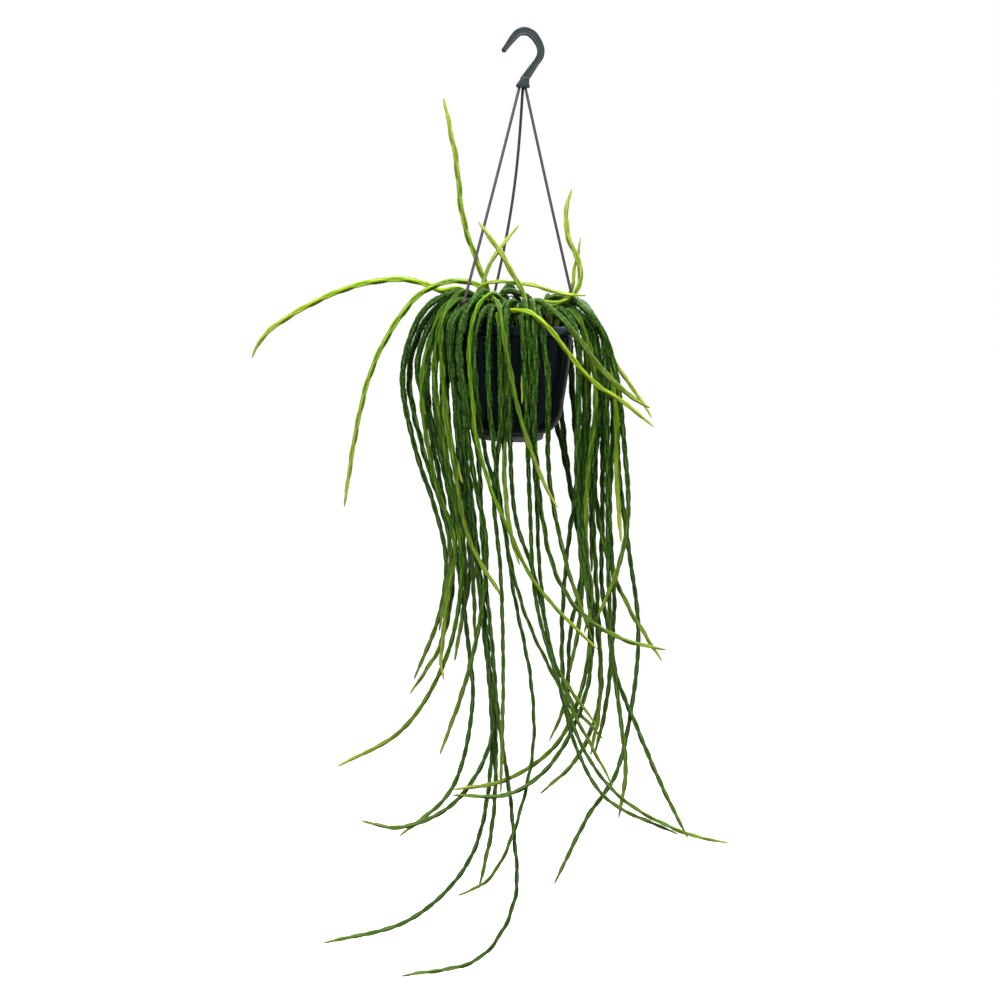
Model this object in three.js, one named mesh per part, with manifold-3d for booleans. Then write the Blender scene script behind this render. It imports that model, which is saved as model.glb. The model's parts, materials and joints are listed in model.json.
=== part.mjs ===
// A chain cactus with three-ribbed hanging stems, in a dark plastic hanging pot.
// Millimetres, +Z up, +X to the right and +Y away from someone who looks at the plant.
// The origin is the inner crest of the hook, where the rod that carries the plant touches it.

import * as THREE from "three";
import { mergeVertices } from "three/addons/utils/BufferGeometryUtils.js";
import Module from "manifold-3d";

// Pot: a round bowl with a lip, three ears and drain holes
const RIM_Z = -332;
const RIM_RADIUS = 75;
const LIP_HEIGHT = 11;
const BODY_RADIUS = 71.5;
const BODY_LOW_RADIUS = 66;
const BODY_LOW_Z = RIM_Z - 92;
const POT_FLOOR_Z = RIM_Z - 131;
const FLOOR_RADIUS = 43;
const WALL = 2.6;
const EDGE = 1;
const BODY_SHARES = [0.02, 0.4, 0.75, 1];
const BOWL_TURNS = [18, 36, 54, 72, 90];
const POT_SIDES = 36;
const DRAIN_SIDES = 8;
const DRAIN_HOLES = 6;
const DRAIN_RADIUS = 2.7;
const DRAIN_RING = 26;

// Ears: the raised tabs that take the strands, by azimuth from +X
const EAR_AZIMUTHS = [-6, 110, 217];
const EAR_WIDTH = 17;
const EAR_RISE = 23;
const EAR_THICK = 5.6;
const EAR_HEAD = 7.2;
const EAR_SHOULDER = 4;
const EAR_CHAMFER = 0.6;
const EAR_RING = RIM_RADIUS - EAR_THICK / 2;
const EAR_SOCKET_DEPTH = 12;

// Saucer: the shallow grey drip dish under the pot
const SAUCER_RADIUS = 44;
const SAUCER_WALL = 2.2;
const SAUCER_HEIGHT = 8;
const SAUCER_ROUND = 2.4;

// Soil: the mounded fill with one plain hole for each stem
const SOIL_EDGE_Z = RIM_Z - 9;
const SOIL_MOUND = 8;
const SOIL_RINGS = [45, 24, 0];
const SOIL_CLEAR = 0.7;
const ROOT_DEPTH = 27;
const SPROUT = 4;
const ROOT_SPACING = 12;
const ROOT_RING_MAX = 58;
const SPREAD_PASSES = 300;
const HOLE_SIDES = 6;

// Hook and strands: the plastic hanger
const HOOK_OUTER = [[-28, -17.2], [-22, -7.5], [-16.5, 1], [-11, 6.8], [-4, 9.1], [3, 8.3], [9.6, 5.2],
  [15, -0.4], [19.2, -7], [21.8, -13.8], [22, -20], [20.3, -25.6], [16, -32.6], [11.5, -40.3], [6.2, -49.4]];
const HOOK_INNER = [[-22.4, -19], [-17.5, -12.8], [-12.3, -6.4], [-7.2, -1.4], [0, 0], [3, -1.4], [6.4, -4.4],
  [9.2, -8], [11.6, -11.8], [13.2, -16.4], [13.3, -20.6], [11.9, -25.2], [8.4, -30.2], [3, -38], [-3, -46.5]];
const HOOK_STEPS = 30;
const HOOK_TIP = [[-28.2, -19.8], [-26.6, -21.7], [-24.3, -21.9]];
const HOOK_THICK = 7;
const HOOK_EDGE = 1.4;
const BLOCK_TOP_Z = -47.4;
const BLOCK_BOTTOM_Z = -59.5;
const BLOCK_X = -1.2;
const BLOCK_HALF_WIDTH = 8;
const BLOCK_THICK = 13;
const BLOCK_EDGE = 0.8;
const BLOCK_SHOULDER = -1.4;
const BLOCK_LIP = 3;
const BLOCK_STEP = 0.7;
const STRAND_RADIUS = 1.55;
const STRAND_SEAT = 4.5;
const STRAND_STEPS = 12;
const STRAND_SIDES = 8;
const STRAND_TOPS = [[1.8, -1.4], [-1.2, 3.2], [-5.2, -1.4]];
const STRAND_BOWS = [[-0.5, 0], [6.5, 3], [0.5, 0]];
const STRAND_NAMES = ["strand_right", "strand_back", "strand_left"];

// Stems: chains of three-ribbed links whose ribs turn by half a step from link to link
const LINK = 20;
const RIBS = 3;
const STEM_RADIUS = 4.3;
const YOUNG_GIRTH = 0.94;
const MIN_LINKS = 4;
const ARC_DIVISIONS = 400;
const BASE_GIRTH = 0.84;
const BASE_LENGTH = 180;
const LOW_GIRTH = 0.8;
const THIN_FROM = 120;
const THIN_TO = 450;
const TIP_POINT = 50;
const POINT_POWER = 0.25;
const RIB_TURN_STEP = 2.4;
const CREST_ALONG = 0.5;
const LEAN_ALONG = 0.3;
const LEAN_RISE = 0.55;
const SHOOT_LEAD = 18;
const SHOOT_CREST_ALONG = 0.7;
const GAP = 0.3;
const CUT_PAST = 3;

// Relaxing: how the routes are eased apart until no two stems touch
const EASE_PASSES = 420;
const EASE_MARGIN = 0.35;
const REGROUP_PASSES = 12;
const WATCH_REACH = 2 * LINK + 12;
const DEPTH_FIRST_SHARE = 0.6;
const SMOOTH_SHARE = 0.9;
const SMOOTHING = 0.35;
const SIDEWAYS_SHARE = 0.25;
const UPWARD_SHARE = 0.1;
const DEPTH_PUSH = 0.6;
const PINNED_RINGS = 3;
const CREST_RINGS = 8;
const EAR_POST_RADIUS = 3.4;
const EAR_POST_INSET = 3;
const WATCH_SHARES = [0, 0.25, 0.5, 0.75];
const LIP_CORE = 5;
const LIP_RING = RIM_RADIUS - 3.6;

// Each stem is read from the front: root is its ring radius on the soil, rise the height of its
// crest over the rim, depth its Y at the rim and at the tip, and view its points as X and Z.
// A stem with a spot instead grows from that X and Y, and its view has its crest. A point of a view
// may have its own Y as a third number. The girth is a share of the usual one.
const STEMS = [
  { name: "stem_spike", spot: [-18, 4], depth: [0, -20], tone: "fresh",
    view: [[-30, -300], [-44, -266], [-57, -235], [-66, -204], [-75, -146], [-92, -77]] },
  { name: "stem_lean", spot: [16, -30], depth: [-30, -45], tone: "fresh",
    view: [[14, -305], [4, -285], [-20, -247], [-45, -216]] },
  { name: "stem_upright_1", spot: [-30, -14], depth: [-12, 10], girth: 0.72, tone: "fresh",
    view: [[-35, -295, -14], [-34, -284, -12], [-28, -264, -6], [-17, -245, 0], [-7, -231, 5],
      [3, -218, 10]] },
  { name: "stem_upright_2", spot: [22, -14], depth: [-20, -10], girth: 0.9, tone: "fresh",
    view: [[29, -307, -20], [43, -308, -22], [57, -306, -22], [68, -300, -20], [76, -289, -17],
      [77, -264, -14], [61, -229], [57, -200], [62, -174]] },
  { name: "stem_upright_3", spot: [38, 10], depth: [5, 0], girth: 0.66, tone: "fresh",
    view: [[53, -308, 8], [66, -302, 7], [70, -289, 5], [71, -268, 4], [74, -249, 2],
      [76, -230, 0]] },
  { name: "stem_arch_right", spot: [-44, -24], depth: [-28, -42], girth: 0.64, tone: "fresh",
    view: [[-41, -292, -24], [-30, -287, -26], [-15, -284, -28], [4, -285, -31], [25, -287, -34],
      [45, -292, -37], [65, -295, -39], [84, -295, -40]] },
  { name: "stem_far_left", root: 34, rise: 36, depth: [5, 20], tone: "bright",
    view: [[-82, -300], [-123, -289], [-183, -297], [-253, -330], [-299, -366], [-312, -392]] },
  { name: "stem_wide_left", root: 26, rise: 44, depth: [-10, -25], tone: "fresh",
    view: [[-82, -289], [-112, -305], [-142, -346], [-165, -398], [-179, -463], [-191, -561]] },
  { name: "stem_reach_1", spot: [-4, -54], depth: [-95, -75], girth: 0.8, tone: "bright",
    view: [[-11, -317, -76], [3, -314, -84], [17, -315, -92], [27, -320, -97], [42, -333, -98],
      [59, -352, -96], [79, -375, -92], [104, -397, -86], [126, -409, -82], [146, -423, -78],
      [168, -440, -75]] },
  { name: "stem_reach_2", spot: [20, -30], depth: [-60, -70], girth: 0.95, tone: "mid",
    view: [[22, -306, -58], [34, -311, -70], [46, -318, -78], [59, -329, -82], [76, -348, -82],
      [93, -368, -80], [111, -387, -77], [128, -400, -74], [146, -413, -71], [162, -421, -70]] },
  { name: "stem_reach_3", root: 40, rise: 30, depth: [25, 30], girth: 0.72, tone: "fresh",
    view: [[85, -311, 25], [101, -331, 27], [111, -351, 28], [122, -373, 29], [134, -387, 29],
      [145, -403, 30], [160, -421, 30], [175, -443, 30]] },

  { name: "stem_front_1", spot: [2, -28], depth: [-86, -90], girth: 0.76, tone: "bright",
    view: [[-20, -300, -40], [-28, -298, -52], [-37, -304, -68], [-43, -314, -82],
      [-47, -331, -88], [-49, -355, -88], [-47, -386, -88], [-41, -427, -88], [-37, -456],
      [-17, -518], [13, -580], [37, -624], [69, -660], [118, -705]] },
  { name: "stem_front_2", spot: [-14, -40], depth: [-88, -95], girth: 0.78, tone: "fresh",
    view: [[-26, -305, -50], [-20, -306, -66], [-15, -313, -80], [-12, -327, -88], [-8, -347, -90],
      [-0, -381, -90], [8, -415, -91], [20, -452], [44, -508], [62, -538]] },
  { name: "stem_front_3", spot: [14, -58], depth: [-78, -86], girth: 0.72, tone: "bright",
    view: [[8, -317, -72], [12, -336, -78], [14, -364, -78], [14, -393, -82], [14, -423, -86]] },
  { name: "stem_front_4", spot: [4, -44], depth: [-86, -40], girth: 0.84, tone: "deep",
    view: [[-21, -309, -62], [-29, -314, -76], [-35, -320, -84], [-39, -334, -88],
      [-41, -358, -88], [-38, -396, -86], [-24, -481], [0, -559], [16, -645], [44, -765],
      [49, -852], [25, -970], [0, -1017], [-34, -1038]] },
  { name: "stem_front_5", spot: [-6, -58], depth: [-84, -60], girth: 0.8, tone: "mid",
    view: [[-21, -311, -70], [-23, -322, -82], [-24, -339, -86], [-23, -371, -86],
      [-19, -423, -86], [-13, -463, -86], [6, -583], [33, -674], [79, -763], [110, -816],
      [148, -881]] },
  { name: "stem_front_6", spot: [4, -58], depth: [-84, -60], girth: 0.84, tone: "mid",
    view: [[-15, -310, -70], [-16, -321, -82], [-16, -337, -86], [-14, -365, -86],
      [-11, -405, -86], [-8, -451, -86], [-12, -530], [0, -621], [9, -746], [13, -897]] },
  { name: "stem_front_7", spot: [10, -46], depth: [-84, -70], girth: 0.84, tone: "deep",
    view: [[-10, -308, -62], [-11, -319, -78], [-10, -336, -84], [-6, -376, -86], [-2, -416, -86],
      [1, -457, -86], [14, -557], [39, -622], [74, -748], [103, -837], [141, -894], [230, -935]] },
  { name: "stem_front_8", spot: [20, -46], depth: [-86, -75], girth: 0.84, tone: "mid",
    view: [[1, -308, -62], [6, -315, -78], [10, -329, -86], [13, -352, -88], [16, -383, -88],
      [21, -432, -88], [30, -536], [43, -651], [71, -739], [112, -836], [159, -891], [236, -930],
      [291, -941]] },
  { name: "stem_front_9", spot: [26, -34], depth: [-84, -50], girth: 0.84, tone: "mid",
    view: [[11, -302, -50], [15, -306, -68], [17, -319, -82], [19, -340, -86], [23, -375, -86],
      [26, -421, -86], [38, -528], [47, -624], [68, -728], [99, -776], [126, -810]] },
  { name: "stem_front_10", spot: [30, -46], depth: [-84, -60], girth: 0.98, tone: "mid",
    view: [[18, -301, -56], [21, -308, -72], [22, -321, -84], [25, -351, -88], [28, -380, -88],
      [28, -420, -88], [42, -537], [65, -621], [99, -669], [149, -698], [201, -709]] },
  { name: "stem_front_11", spot: [38, -40], depth: [-80, -50], girth: 0.88, tone: "mid",
    view: [[25, -308, -62], [29, -317, -74], [32, -331, -82], [37, -357, -84], [43, -391, -84],
      [45, -426, -84], [52, -511], [77, -610], [114, -704]] },
  { name: "stem_front_12", spot: [-14, -54], depth: [-78, -84], girth: 0.86, tone: "fresh",
    view: [[-15, -313, -70], [-11, -337, -78], [-7, -388, -78], [-5, -452, -80], [-3, -504, -82],
      [7, -569], [20, -610]] },

  { name: "stem_left_1", root: 30, rise: 32, depth: [-5, 10], tone: "deep",
    view: [[-101, -318], [-120, -355], [-128, -408], [-107, -498], [-83, -561], [-66, -627],
      [-72, -697], [-100, -780]] },
  { name: "stem_left_2", root: 38, rise: 26, depth: [14, 20], tone: "mid",
    view: [[-92, -321], [-115, -362], [-121, -410], [-101, -493], [-71, -578], [-58, -647],
      [-70, -736], [-105, -801]] },
  { name: "stem_left_3", root: 44, rise: 26, depth: [-12, -30], tone: "fresh",
    view: [[-80, -316], [-99, -367], [-104, -417], [-84, -522], [-56, -602], [-62, -665],
      [-66, -750], [-62, -767]] },
  { name: "stem_left_4", root: 32, rise: 34, depth: [-24, -25], tone: "fresh",
    view: [[-79, -322], [-90, -386], [-75, -478], [-55, -571], [-47, -638], [-61, -740],
      [-111, -834], [-189, -885]] },
  { name: "stem_left_5", root: 42, rise: 20, depth: [22, 0], tone: "deep",
    view: [[-86, -333], [-99, -384], [-94, -456], [-73, -553], [-62, -626], [-72, -714]] },
  { name: "stem_left_6", root: 46, rise: 22, depth: [6, 15], tone: "deep",
    view: [[-92, -329], [-112, -390], [-93, -456], [-68, -546], [-54, -627], [-36, -730],
      [-27, -808], [-49, -921], [-111, -985]] },
  { name: "stem_left_7", root: 40, rise: 26, depth: [35, 30], tone: "mid",
    view: [[-80, -330], [-85, -397], [-76, -499], [-52, -587], [-43, -668], [-52, -759]] },
  { name: "stem_left_8", root: 36, rise: 20, depth: [48, 40], tone: "deep",
    view: [[-72, -342], [-77, -412], [-67, -495], [-43, -582], [-31, -683], [-28, -733]] },
  { name: "stem_left_9", root: 48, rise: 22, depth: [-44, -60], tone: "fresh",
    view: [[-76, -335], [-74, -401], [-59, -493], [-37, -588], [7, -658]] },
  { name: "stem_left_10", root: 30, rise: 28, depth: [-66, -45], tone: "mid",
    view: [[-56, -318], [-63, -358], [-52, -427], [-36, -510], [-18, -594], [-21, -680],
      [-37, -768], [-63, -857]] },
  { name: "stem_left_11", root: 42, rise: 22, depth: [-58, -20], tone: "deep",
    view: [[-66, -330], [-67, -382], [-54, -451], [-38, -541], [-24, -633], [-6, -763],
      [-3, -844], [-45, -924], [-110, -959], [-157, -954]] },
  { name: "stem_left_12", root: 54, rise: 14, depth: [-50, -10], tone: "deep",
    view: [[-72, -334], [-69, -402], [-53, -522], [-32, -610], [-10, -740], [0, -878],
      [-22, -1000], [-92, -1082], [-200, -1121]] },
  { name: "stem_left_13", spot: [-14, -36], depth: [-80, -30], girth: 0.95, tone: "deep",
    view: [[-35, -300, -46], [-43, -303, -60], [-51, -310, -72], [-57, -323, -80],
      [-60, -339, -82], [-62, -364, -82], [-56, -398, -82], [-49, -431, -80], [-35, -491],
      [-23, -605], [-6, -721], [4, -797], [29, -936], [36, -1045], [-4, -1121], [-100, -1151]] },
  { name: "stem_left_14", root: 26, rise: 26, depth: [-44, -20], tone: "deep",
    view: [[-68, -336], [-63, -411], [-50, -500], [-32, -602], [-13, -731], [1, -813],
      [5, -943], [-8, -1036]] },
  { name: "stem_left_15", root: 57, rise: 12, depth: [-34, -60], tone: "fresh",
    view: [[-69, -336], [-71, -399], [-63, -469], [-44, -523]] },

  { name: "stem_right_1", root: 34, rise: 26, depth: [-12, -45], tone: "fresh",
    view: [[82, -332], [90, -397], [90, -503], [94, -594], [110, -676], [108, -755],
      [79, -839], [18, -888], [-46, -902]] },
  { name: "stem_right_2", root: 44, rise: 20, depth: [-36, -55], tone: "deep",
    view: [[75, -336], [82, -416], [87, -537], [106, -633], [114, -718], [107, -782],
      [71, -861], [23, -899], [-45, -903]] },
  { name: "stem_right_3", root: 52, rise: 20, depth: [-30, -40], tone: "fresh",
    view: [[84, -334], [102, -406], [98, -511], [101, -597], [111, -658], [104, -699]] },
  { name: "stem_right_4", root: 50, rise: 16, depth: [14, 10], tone: "deep",
    view: [[86, -340], [96, -417], [97, -545], [100, -613], [100, -694], [91, -764]] },
  { name: "stem_right_5", root: 40, rise: 24, depth: [-5, -20], tone: "mid",
    view: [[95, -335], [108, -408], [107, -541], [116, -636], [127, -743], [128, -806], [121, -857]] },
  { name: "stem_right_6", root: 56, rise: 16, depth: [16, 0], tone: "deep",
    view: [[98, -338], [112, -422], [119, -547], [125, -655], [140, -729], [137, -806], [127, -862]] },
  { name: "stem_right_7", root: 30, rise: 28, depth: [-22, -10], tone: "mid",
    view: [[100, -334], [114, -418], [124, -542], [132, -649], [142, -736], [156, -812],
      [166, -878], [161, -939]] },
  { name: "stem_right_8", root: 44, rise: 26, depth: [6, 15], tone: "deep",
    view: [[104, -336], [125, -421], [129, -556], [141, -667], [145, -749], [180, -831],
      [215, -904], [251, -969]] },
  { name: "stem_right_9", root: 38, rise: 30, depth: [-14, -25], tone: "bright",
    view: [[105, -336], [127, -418], [133, -501], [139, -555], [143, -588]] },
  { name: "stem_right_10", root: 24, rise: 34, depth: [-30, -20], tone: "mid",
    view: [[98, -325], [121, -373], [141, -480], [149, -555], [140, -624], [117, -689]] },
  { name: "stem_right_11", root: 30, rise: 32, depth: [24, 20], tone: "deep",
    view: [[100, -330], [125, -386], [138, -508], [156, -606], [173, -699], [173, -783],
      [156, -893], [125, -948], [87, -1040]] },
  { name: "stem_right_12", root: 52, rise: 20, depth: [30, -20], tone: "mid",
    view: [[92, -342], [108, -423], [111, -532], [125, -596], [153, -662], [201, -733]] },
  { name: "stem_back_1", root: 38, rise: 20, depth: [50, 10], tone: "deep",
    view: [[66, -345], [74, -402], [88, -523], [81, -609], [80, -722], [90, -791], [137, -844]] },
  { name: "stem_back_2", root: 30, rise: 24, depth: [64, 30], tone: "deep",
    view: [[54, -350], [62, -428], [80, -532], [100, -613], [126, -725], [132, -802],
      [107, -879], [63, -926]] },
  { name: "stem_back_3", spot: [-8, 22], depth: [76, 40], tone: "deep",
    view: [[-20, -300, 28], [-11, -297, 40], [1, -299, 55], [14, -305, 68], [26, -318, 78],
      [36, -350, 82], [55, -437], [78, -523], [101, -639], [91, -719], [90, -806], [72, -859]] },
];

// Side shoots, which fork from the stem named by on, just above the joint of that number. Where
// they hang is given as for a stem, and rise is the height of their crest over the rim.
const SHOOTS = [
  { on: "stem_back_3", joint: 3, rise: 14, depth: [82, 86], view: [[20, -336], [17, -395], [12, -452]] },
  { on: "stem_back_3", joint: 2, rise: 16, depth: [85, 84], view: [[-4, -337], [-7, -385], [-2, -430]] },
  { on: "stem_back_2", joint: 3, rise: 15, depth: [74, 78], view: [[45, -338], [48, -400], [43, -447]] },
  { on: "stem_back_1", joint: 3, rise: 17, depth: [56, 40],
    view: [[74, -338], [88, -400], [101, -480], [108, -560], [113, -640]] },
  { on: "stem_left_8", joint: 3, rise: 14, depth: [64, 66], view: [[-58, -336], [-60, -392], [-54, -440]] },
  { on: "stem_left_8", joint: 2, rise: 16, depth: [78, 48],
    view: [[-39, -336], [-44, -410], [-56, -490], [-47, -570], [-38, -650], [-42, -700]] },
  { on: "stem_left_5", joint: 3, rise: 20, depth: [38, 30],
    view: [[-78, -336], [-88, -392], [-84, -452], [-70, -520]] },
];

// The colour and roughness of each finish
const FINISHES = {
  pot: [0x20242c, 0.35],
  saucer: [0x77777b, 0.5],
  soil: [0x2a2019, 0.95],
  hanger: [0x454e52, 0.5],
  strand: [0x4a484f, 0.6],
  deep: [0x1d4214, 0.55],
  mid: [0x2f5f1b, 0.55],
  fresh: [0x5a8a1c, 0.5],
  bright: [0x93b81e, 0.5],
};

const wasm = await Module();
wasm.setup();

const radians = (degrees) => (degrees * Math.PI) / 180;
const clamp = (value, low, high) => Math.min(high, Math.max(low, value));

// Turns a geometry into a solid that can be joined and cut.
function solidOf(geometry) {
  const bare = geometry.index ? geometry.toNonIndexed() : geometry.clone();
  bare.deleteAttribute("normal");
  bare.deleteAttribute("uv");
  const merged = mergeVertices(bare, 1e-4);
  const mesh = new wasm.Mesh({
    numProp: 3,
    vertProperties: new Float32Array(merged.attributes.position.array),
    triVerts: new Uint32Array(merged.index.array),
  });
  return new wasm.Manifold(mesh);
}

// Turns a solid back into a geometry.
function geometryOf(solid) {
  const mesh = solid.getMesh();
  const geometry = new THREE.BufferGeometry();
  geometry.setAttribute("position", new THREE.BufferAttribute(new Float32Array(mesh.vertProperties), 3));
  geometry.setIndex(new THREE.BufferAttribute(new Uint32Array(mesh.triVerts), 1));
  geometry.computeVertexNormals();
  return geometry;
}

// Turns a closed outline of radius and height about the Z axis.
function turned(outline, sides) {
  const points = outline.map(([radius, z]) => new THREE.Vector2(radius, z));
  const geometry = new THREE.LatheGeometry(points, sides);
  geometry.rotateX(Math.PI / 2);
  return geometry;
}

function material(name) {
  const [color, roughness] = FINISHES[name];
  return new THREE.MeshStandardMaterial({ color, roughness, metalness: 0 });
}

// The outer radius of the pot at a height: lip, tapering body, then a quarter round to the floor.
function potRadius(z) {
  if (z > RIM_Z - LIP_HEIGHT) return RIM_RADIUS;
  if (z > BODY_LOW_Z) {
    const down = (RIM_Z - LIP_HEIGHT - z) / (RIM_Z - LIP_HEIGHT - BODY_LOW_Z);
    return THREE.MathUtils.lerp(BODY_RADIUS, BODY_LOW_RADIUS, down * down);
  }
  const drop = clamp((BODY_LOW_Z - z) / (BODY_LOW_Z - POT_FLOOR_Z), 0, 1);
  return FLOOR_RADIUS + (BODY_LOW_RADIUS - FLOOR_RADIUS) * Math.sqrt(1 - drop * drop);
}

// The inner radius of the pot at a height.
function innerRadius(z) {
  if (z > BODY_LOW_Z) return potRadius(Math.min(z, RIM_Z - LIP_HEIGHT)) - WALL;
  const drop = clamp((BODY_LOW_Z - z) / (BODY_LOW_Z - POT_FLOOR_Z - WALL), 0, 1);
  return FLOOR_RADIUS - WALL + (BODY_LOW_RADIUS - FLOOR_RADIUS) * Math.sqrt(1 - drop * drop);
}

// The heights of the rings of the pot's round bottom, down to the given height.
function bowlHeights(low) {
  return BOWL_TURNS.map((turn) => BODY_LOW_Z - (BODY_LOW_Z - low) * Math.sin(radians(turn)));
}

// The pot wall as one closed outline: down the outside, across the floor and up the inside.
function potOutline() {
  const lipLow = RIM_Z - LIP_HEIGHT;
  const lip = [
    [RIM_RADIUS - EDGE, RIM_Z], [RIM_RADIUS, RIM_Z - EDGE],
    [RIM_RADIUS, lipLow + EDGE], [RIM_RADIUS - EDGE, lipLow],
  ];
  const body = BODY_SHARES.map((share) => THREE.MathUtils.lerp(lipLow, BODY_LOW_Z, share));
  const outside = [...body, ...bowlHeights(POT_FLOOR_Z)].map((z) => [potRadius(z), z]);
  const inside = [RIM_Z, ...body, ...bowlHeights(POT_FLOOR_Z + WALL)].map((z) => [innerRadius(z), z]);
  return [[0, POT_FLOOR_Z + WALL], ...inside.reverse(), ...lip, ...outside, [0, POT_FLOOR_Z]].reverse();
}

// One ear: a tab with a round head, from the lip upwards, with a socket down into its top.
function ear(azimuth) {
  const half = EAR_WIDTH / 2;
  const foot = RIM_Z - LIP_HEIGHT + 2;
  const shoulder = RIM_Z + EAR_SHOULDER;
  const head = RIM_Z + EAR_RISE;
  const tab = new THREE.Shape();
  tab.moveTo(-half, foot);
  tab.lineTo(half, foot);
  tab.lineTo(half, shoulder);
  tab.quadraticCurveTo(half, head, EAR_HEAD / 2, head);
  tab.lineTo(-EAR_HEAD / 2, head);
  tab.quadraticCurveTo(-half, head, -half, shoulder);
  tab.closePath();
  const plate = upright(tab, EAR_THICK, EAR_CHAMFER, 1, 4);
  plate.rotateZ(Math.PI / 2);
  plate.translate(EAR_RING, 0, 0);
  plate.rotateZ(radians(azimuth));
  return solidOf(plate);
}

// The place of a strand's lower end: the socket in its ear.
function earTop(azimuth) {
  const angle = radians(azimuth);
  return new THREE.Vector3(EAR_RING * Math.cos(angle), EAR_RING * Math.sin(angle), RIM_Z + EAR_RISE);
}

// A bore of a radius along a straight line, to be cut out of something.
function bore(from, to, radius, sides) {
  const along = new THREE.Vector3().subVectors(to, from);
  const rod = new THREE.CylinderGeometry(radius, radius, along.length(), sides);
  const turn = new THREE.Quaternion().setFromUnitVectors(new THREE.Vector3(0, 1, 0), along.normalize());
  rod.applyQuaternion(turn);
  const middle = new THREE.Vector3().addVectors(from, to).multiplyScalar(0.5);
  rod.translate(middle.x, middle.y, middle.z);
  return solidOf(rod);
}

// The points of one strand, from inside the hook's block to inside its ear's socket.
function strandPoints(index) {
  const top = new THREE.Vector3(...STRAND_TOPS[index], BLOCK_BOTTOM_Z);
  const low = earTop(EAR_AZIMUTHS[index]);
  const [bowX, bowY] = STRAND_BOWS[index];
  const points = [top.clone().setZ(BLOCK_BOTTOM_Z + STRAND_SEAT), top];
  for (let i = 1; i < STRAND_STEPS; i += 1) {
    const share = i / STRAND_STEPS;
    const bow = Math.sin(Math.PI * share);
    const point = new THREE.Vector3().lerpVectors(top, low, share);
    points.push(point.add(new THREE.Vector3(bowX * bow, bowY * bow, 0)));
  }
  points.push(low, low.clone().setZ(low.z - EAR_SOCKET_DEPTH + GAP));
  return points;
}

// The radius of a bore that clears a strand by the gap on each of its flat sides.
const SOCKET_RADIUS = (STRAND_RADIUS + GAP) / Math.cos(Math.PI / STRAND_SIDES);

// A tube of flat-sided rings through the given points.
function tube(points, radius, sides) {
  const positions = [];
  const frames = ringFrames(points);
  points.forEach((point, i) => {
    for (let k = 0; k < sides; k += 1) {
      const angle = (2 * Math.PI * k) / sides;
      positions.push(...ringVertex(point, frames[i], radius, angle));
    }
  });
  const faces = [];
  for (let i = 0; i + 1 < points.length; i += 1) {
    for (let k = 0; k < sides; k += 1) {
      const a = i * sides + k;
      const b = i * sides + ((k + 1) % sides);
      faces.push(a, b, b + sides, a, b + sides, a + sides);
    }
  }
  const last = (points.length - 1) * sides;
  for (let k = 1; k + 1 < sides; k += 1) {
    faces.push(0, k + 1, k, last, last + k, last + k + 1);
  }
  return indexed(positions, faces);
}

function indexed(positions, faces) {
  const geometry = new THREE.BufferGeometry();
  geometry.setAttribute("position", new THREE.Float32BufferAttribute(positions, 3));
  geometry.setIndex(faces);
  geometry.computeVertexNormals();
  return geometry;
}

// Frames along a line of points that turn with it and never twist.
function ringFrames(points) {
  const tangents = points.map((point, i) => {
    const before = points[Math.max(0, i - 1)];
    const after = points[Math.min(points.length - 1, i + 1)];
    return new THREE.Vector3().subVectors(after, before).normalize();
  });
  const side = Math.abs(tangents[0].x) < 0.9 ? new THREE.Vector3(1, 0, 0) : new THREE.Vector3(0, 1, 0);
  const frames = [];
  tangents.forEach((tangent, i) => {
    const start = i === 0 ? side : frames[i - 1].u.clone();
    const u = start.addScaledVector(tangent, -start.dot(tangent)).normalize();
    frames.push({ u, v: new THREE.Vector3().crossVectors(tangent, u) });
  });
  return frames;
}

function ringVertex(point, frame, radius, angle) {
  const reach = frame.u.clone().multiplyScalar(radius * Math.cos(angle));
  reach.addScaledVector(frame.v, radius * Math.sin(angle));
  return reach.add(point).toArray();
}

// The hook: its outer line, from the tip over the crest to the foot, and back along its inner line.
function hookGeometry() {
  const line = (points) => {
    return new THREE.SplineCurve(points.map(([x, z]) => new THREE.Vector2(x, z))).getPoints(HOOK_STEPS);
  };
  const tip = HOOK_TIP.map(([x, z]) => new THREE.Vector2(x, z)).reverse();
  const shape = new THREE.Shape([...line(HOOK_OUTER), ...line(HOOK_INNER).reverse(), ...tip]);
  return upright(shape, HOOK_THICK, HOOK_EDGE, 2, 1);
}

// A flat outline in X and Z, given a thickness along Y, with its edges eased in a few steps.
function upright(shape, thick, edge, steps, curveSegments) {
  const geometry = new THREE.ExtrudeGeometry(shape, {
    depth: thick - 2 * edge, bevelEnabled: true, bevelThickness: edge, bevelSize: edge,
    bevelOffset: -edge, bevelSegments: steps, curveSegments,
  });
  geometry.translate(0, 0, -(thick - 2 * edge) / 2);
  geometry.rotateX(Math.PI / 2);
  return geometry;
}

// The block that holds the strands' upper ends, with a sloped left shoulder and a lip below.
function blockGeometry() {
  const half = BLOCK_HALF_WIDTH;
  const inset = half - BLOCK_STEP;
  const lipTop = BLOCK_BOTTOM_Z + BLOCK_LIP;
  const outline = [
    [BLOCK_SHOULDER, BLOCK_TOP_Z], [inset, BLOCK_TOP_Z], [inset, lipTop + BLOCK_STEP],
    [half, lipTop], [half, BLOCK_BOTTOM_Z], [-half, BLOCK_BOTTOM_Z],
    [-half, lipTop], [-inset, lipTop + BLOCK_STEP],
  ];
  const shape = new THREE.Shape(outline.map(([x, z]) => new THREE.Vector2(BLOCK_X + x, z)));
  return upright(shape, BLOCK_THICK, BLOCK_EDGE, 2, 1);
}

// The height of the soil at a distance from the axis.
function soilZ(radius) {
  const share = clamp(radius / ROOT_RING_MAX, 0, 1);
  return SOIL_EDGE_Z + SOIL_MOUND * (1 - share * share);
}

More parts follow.
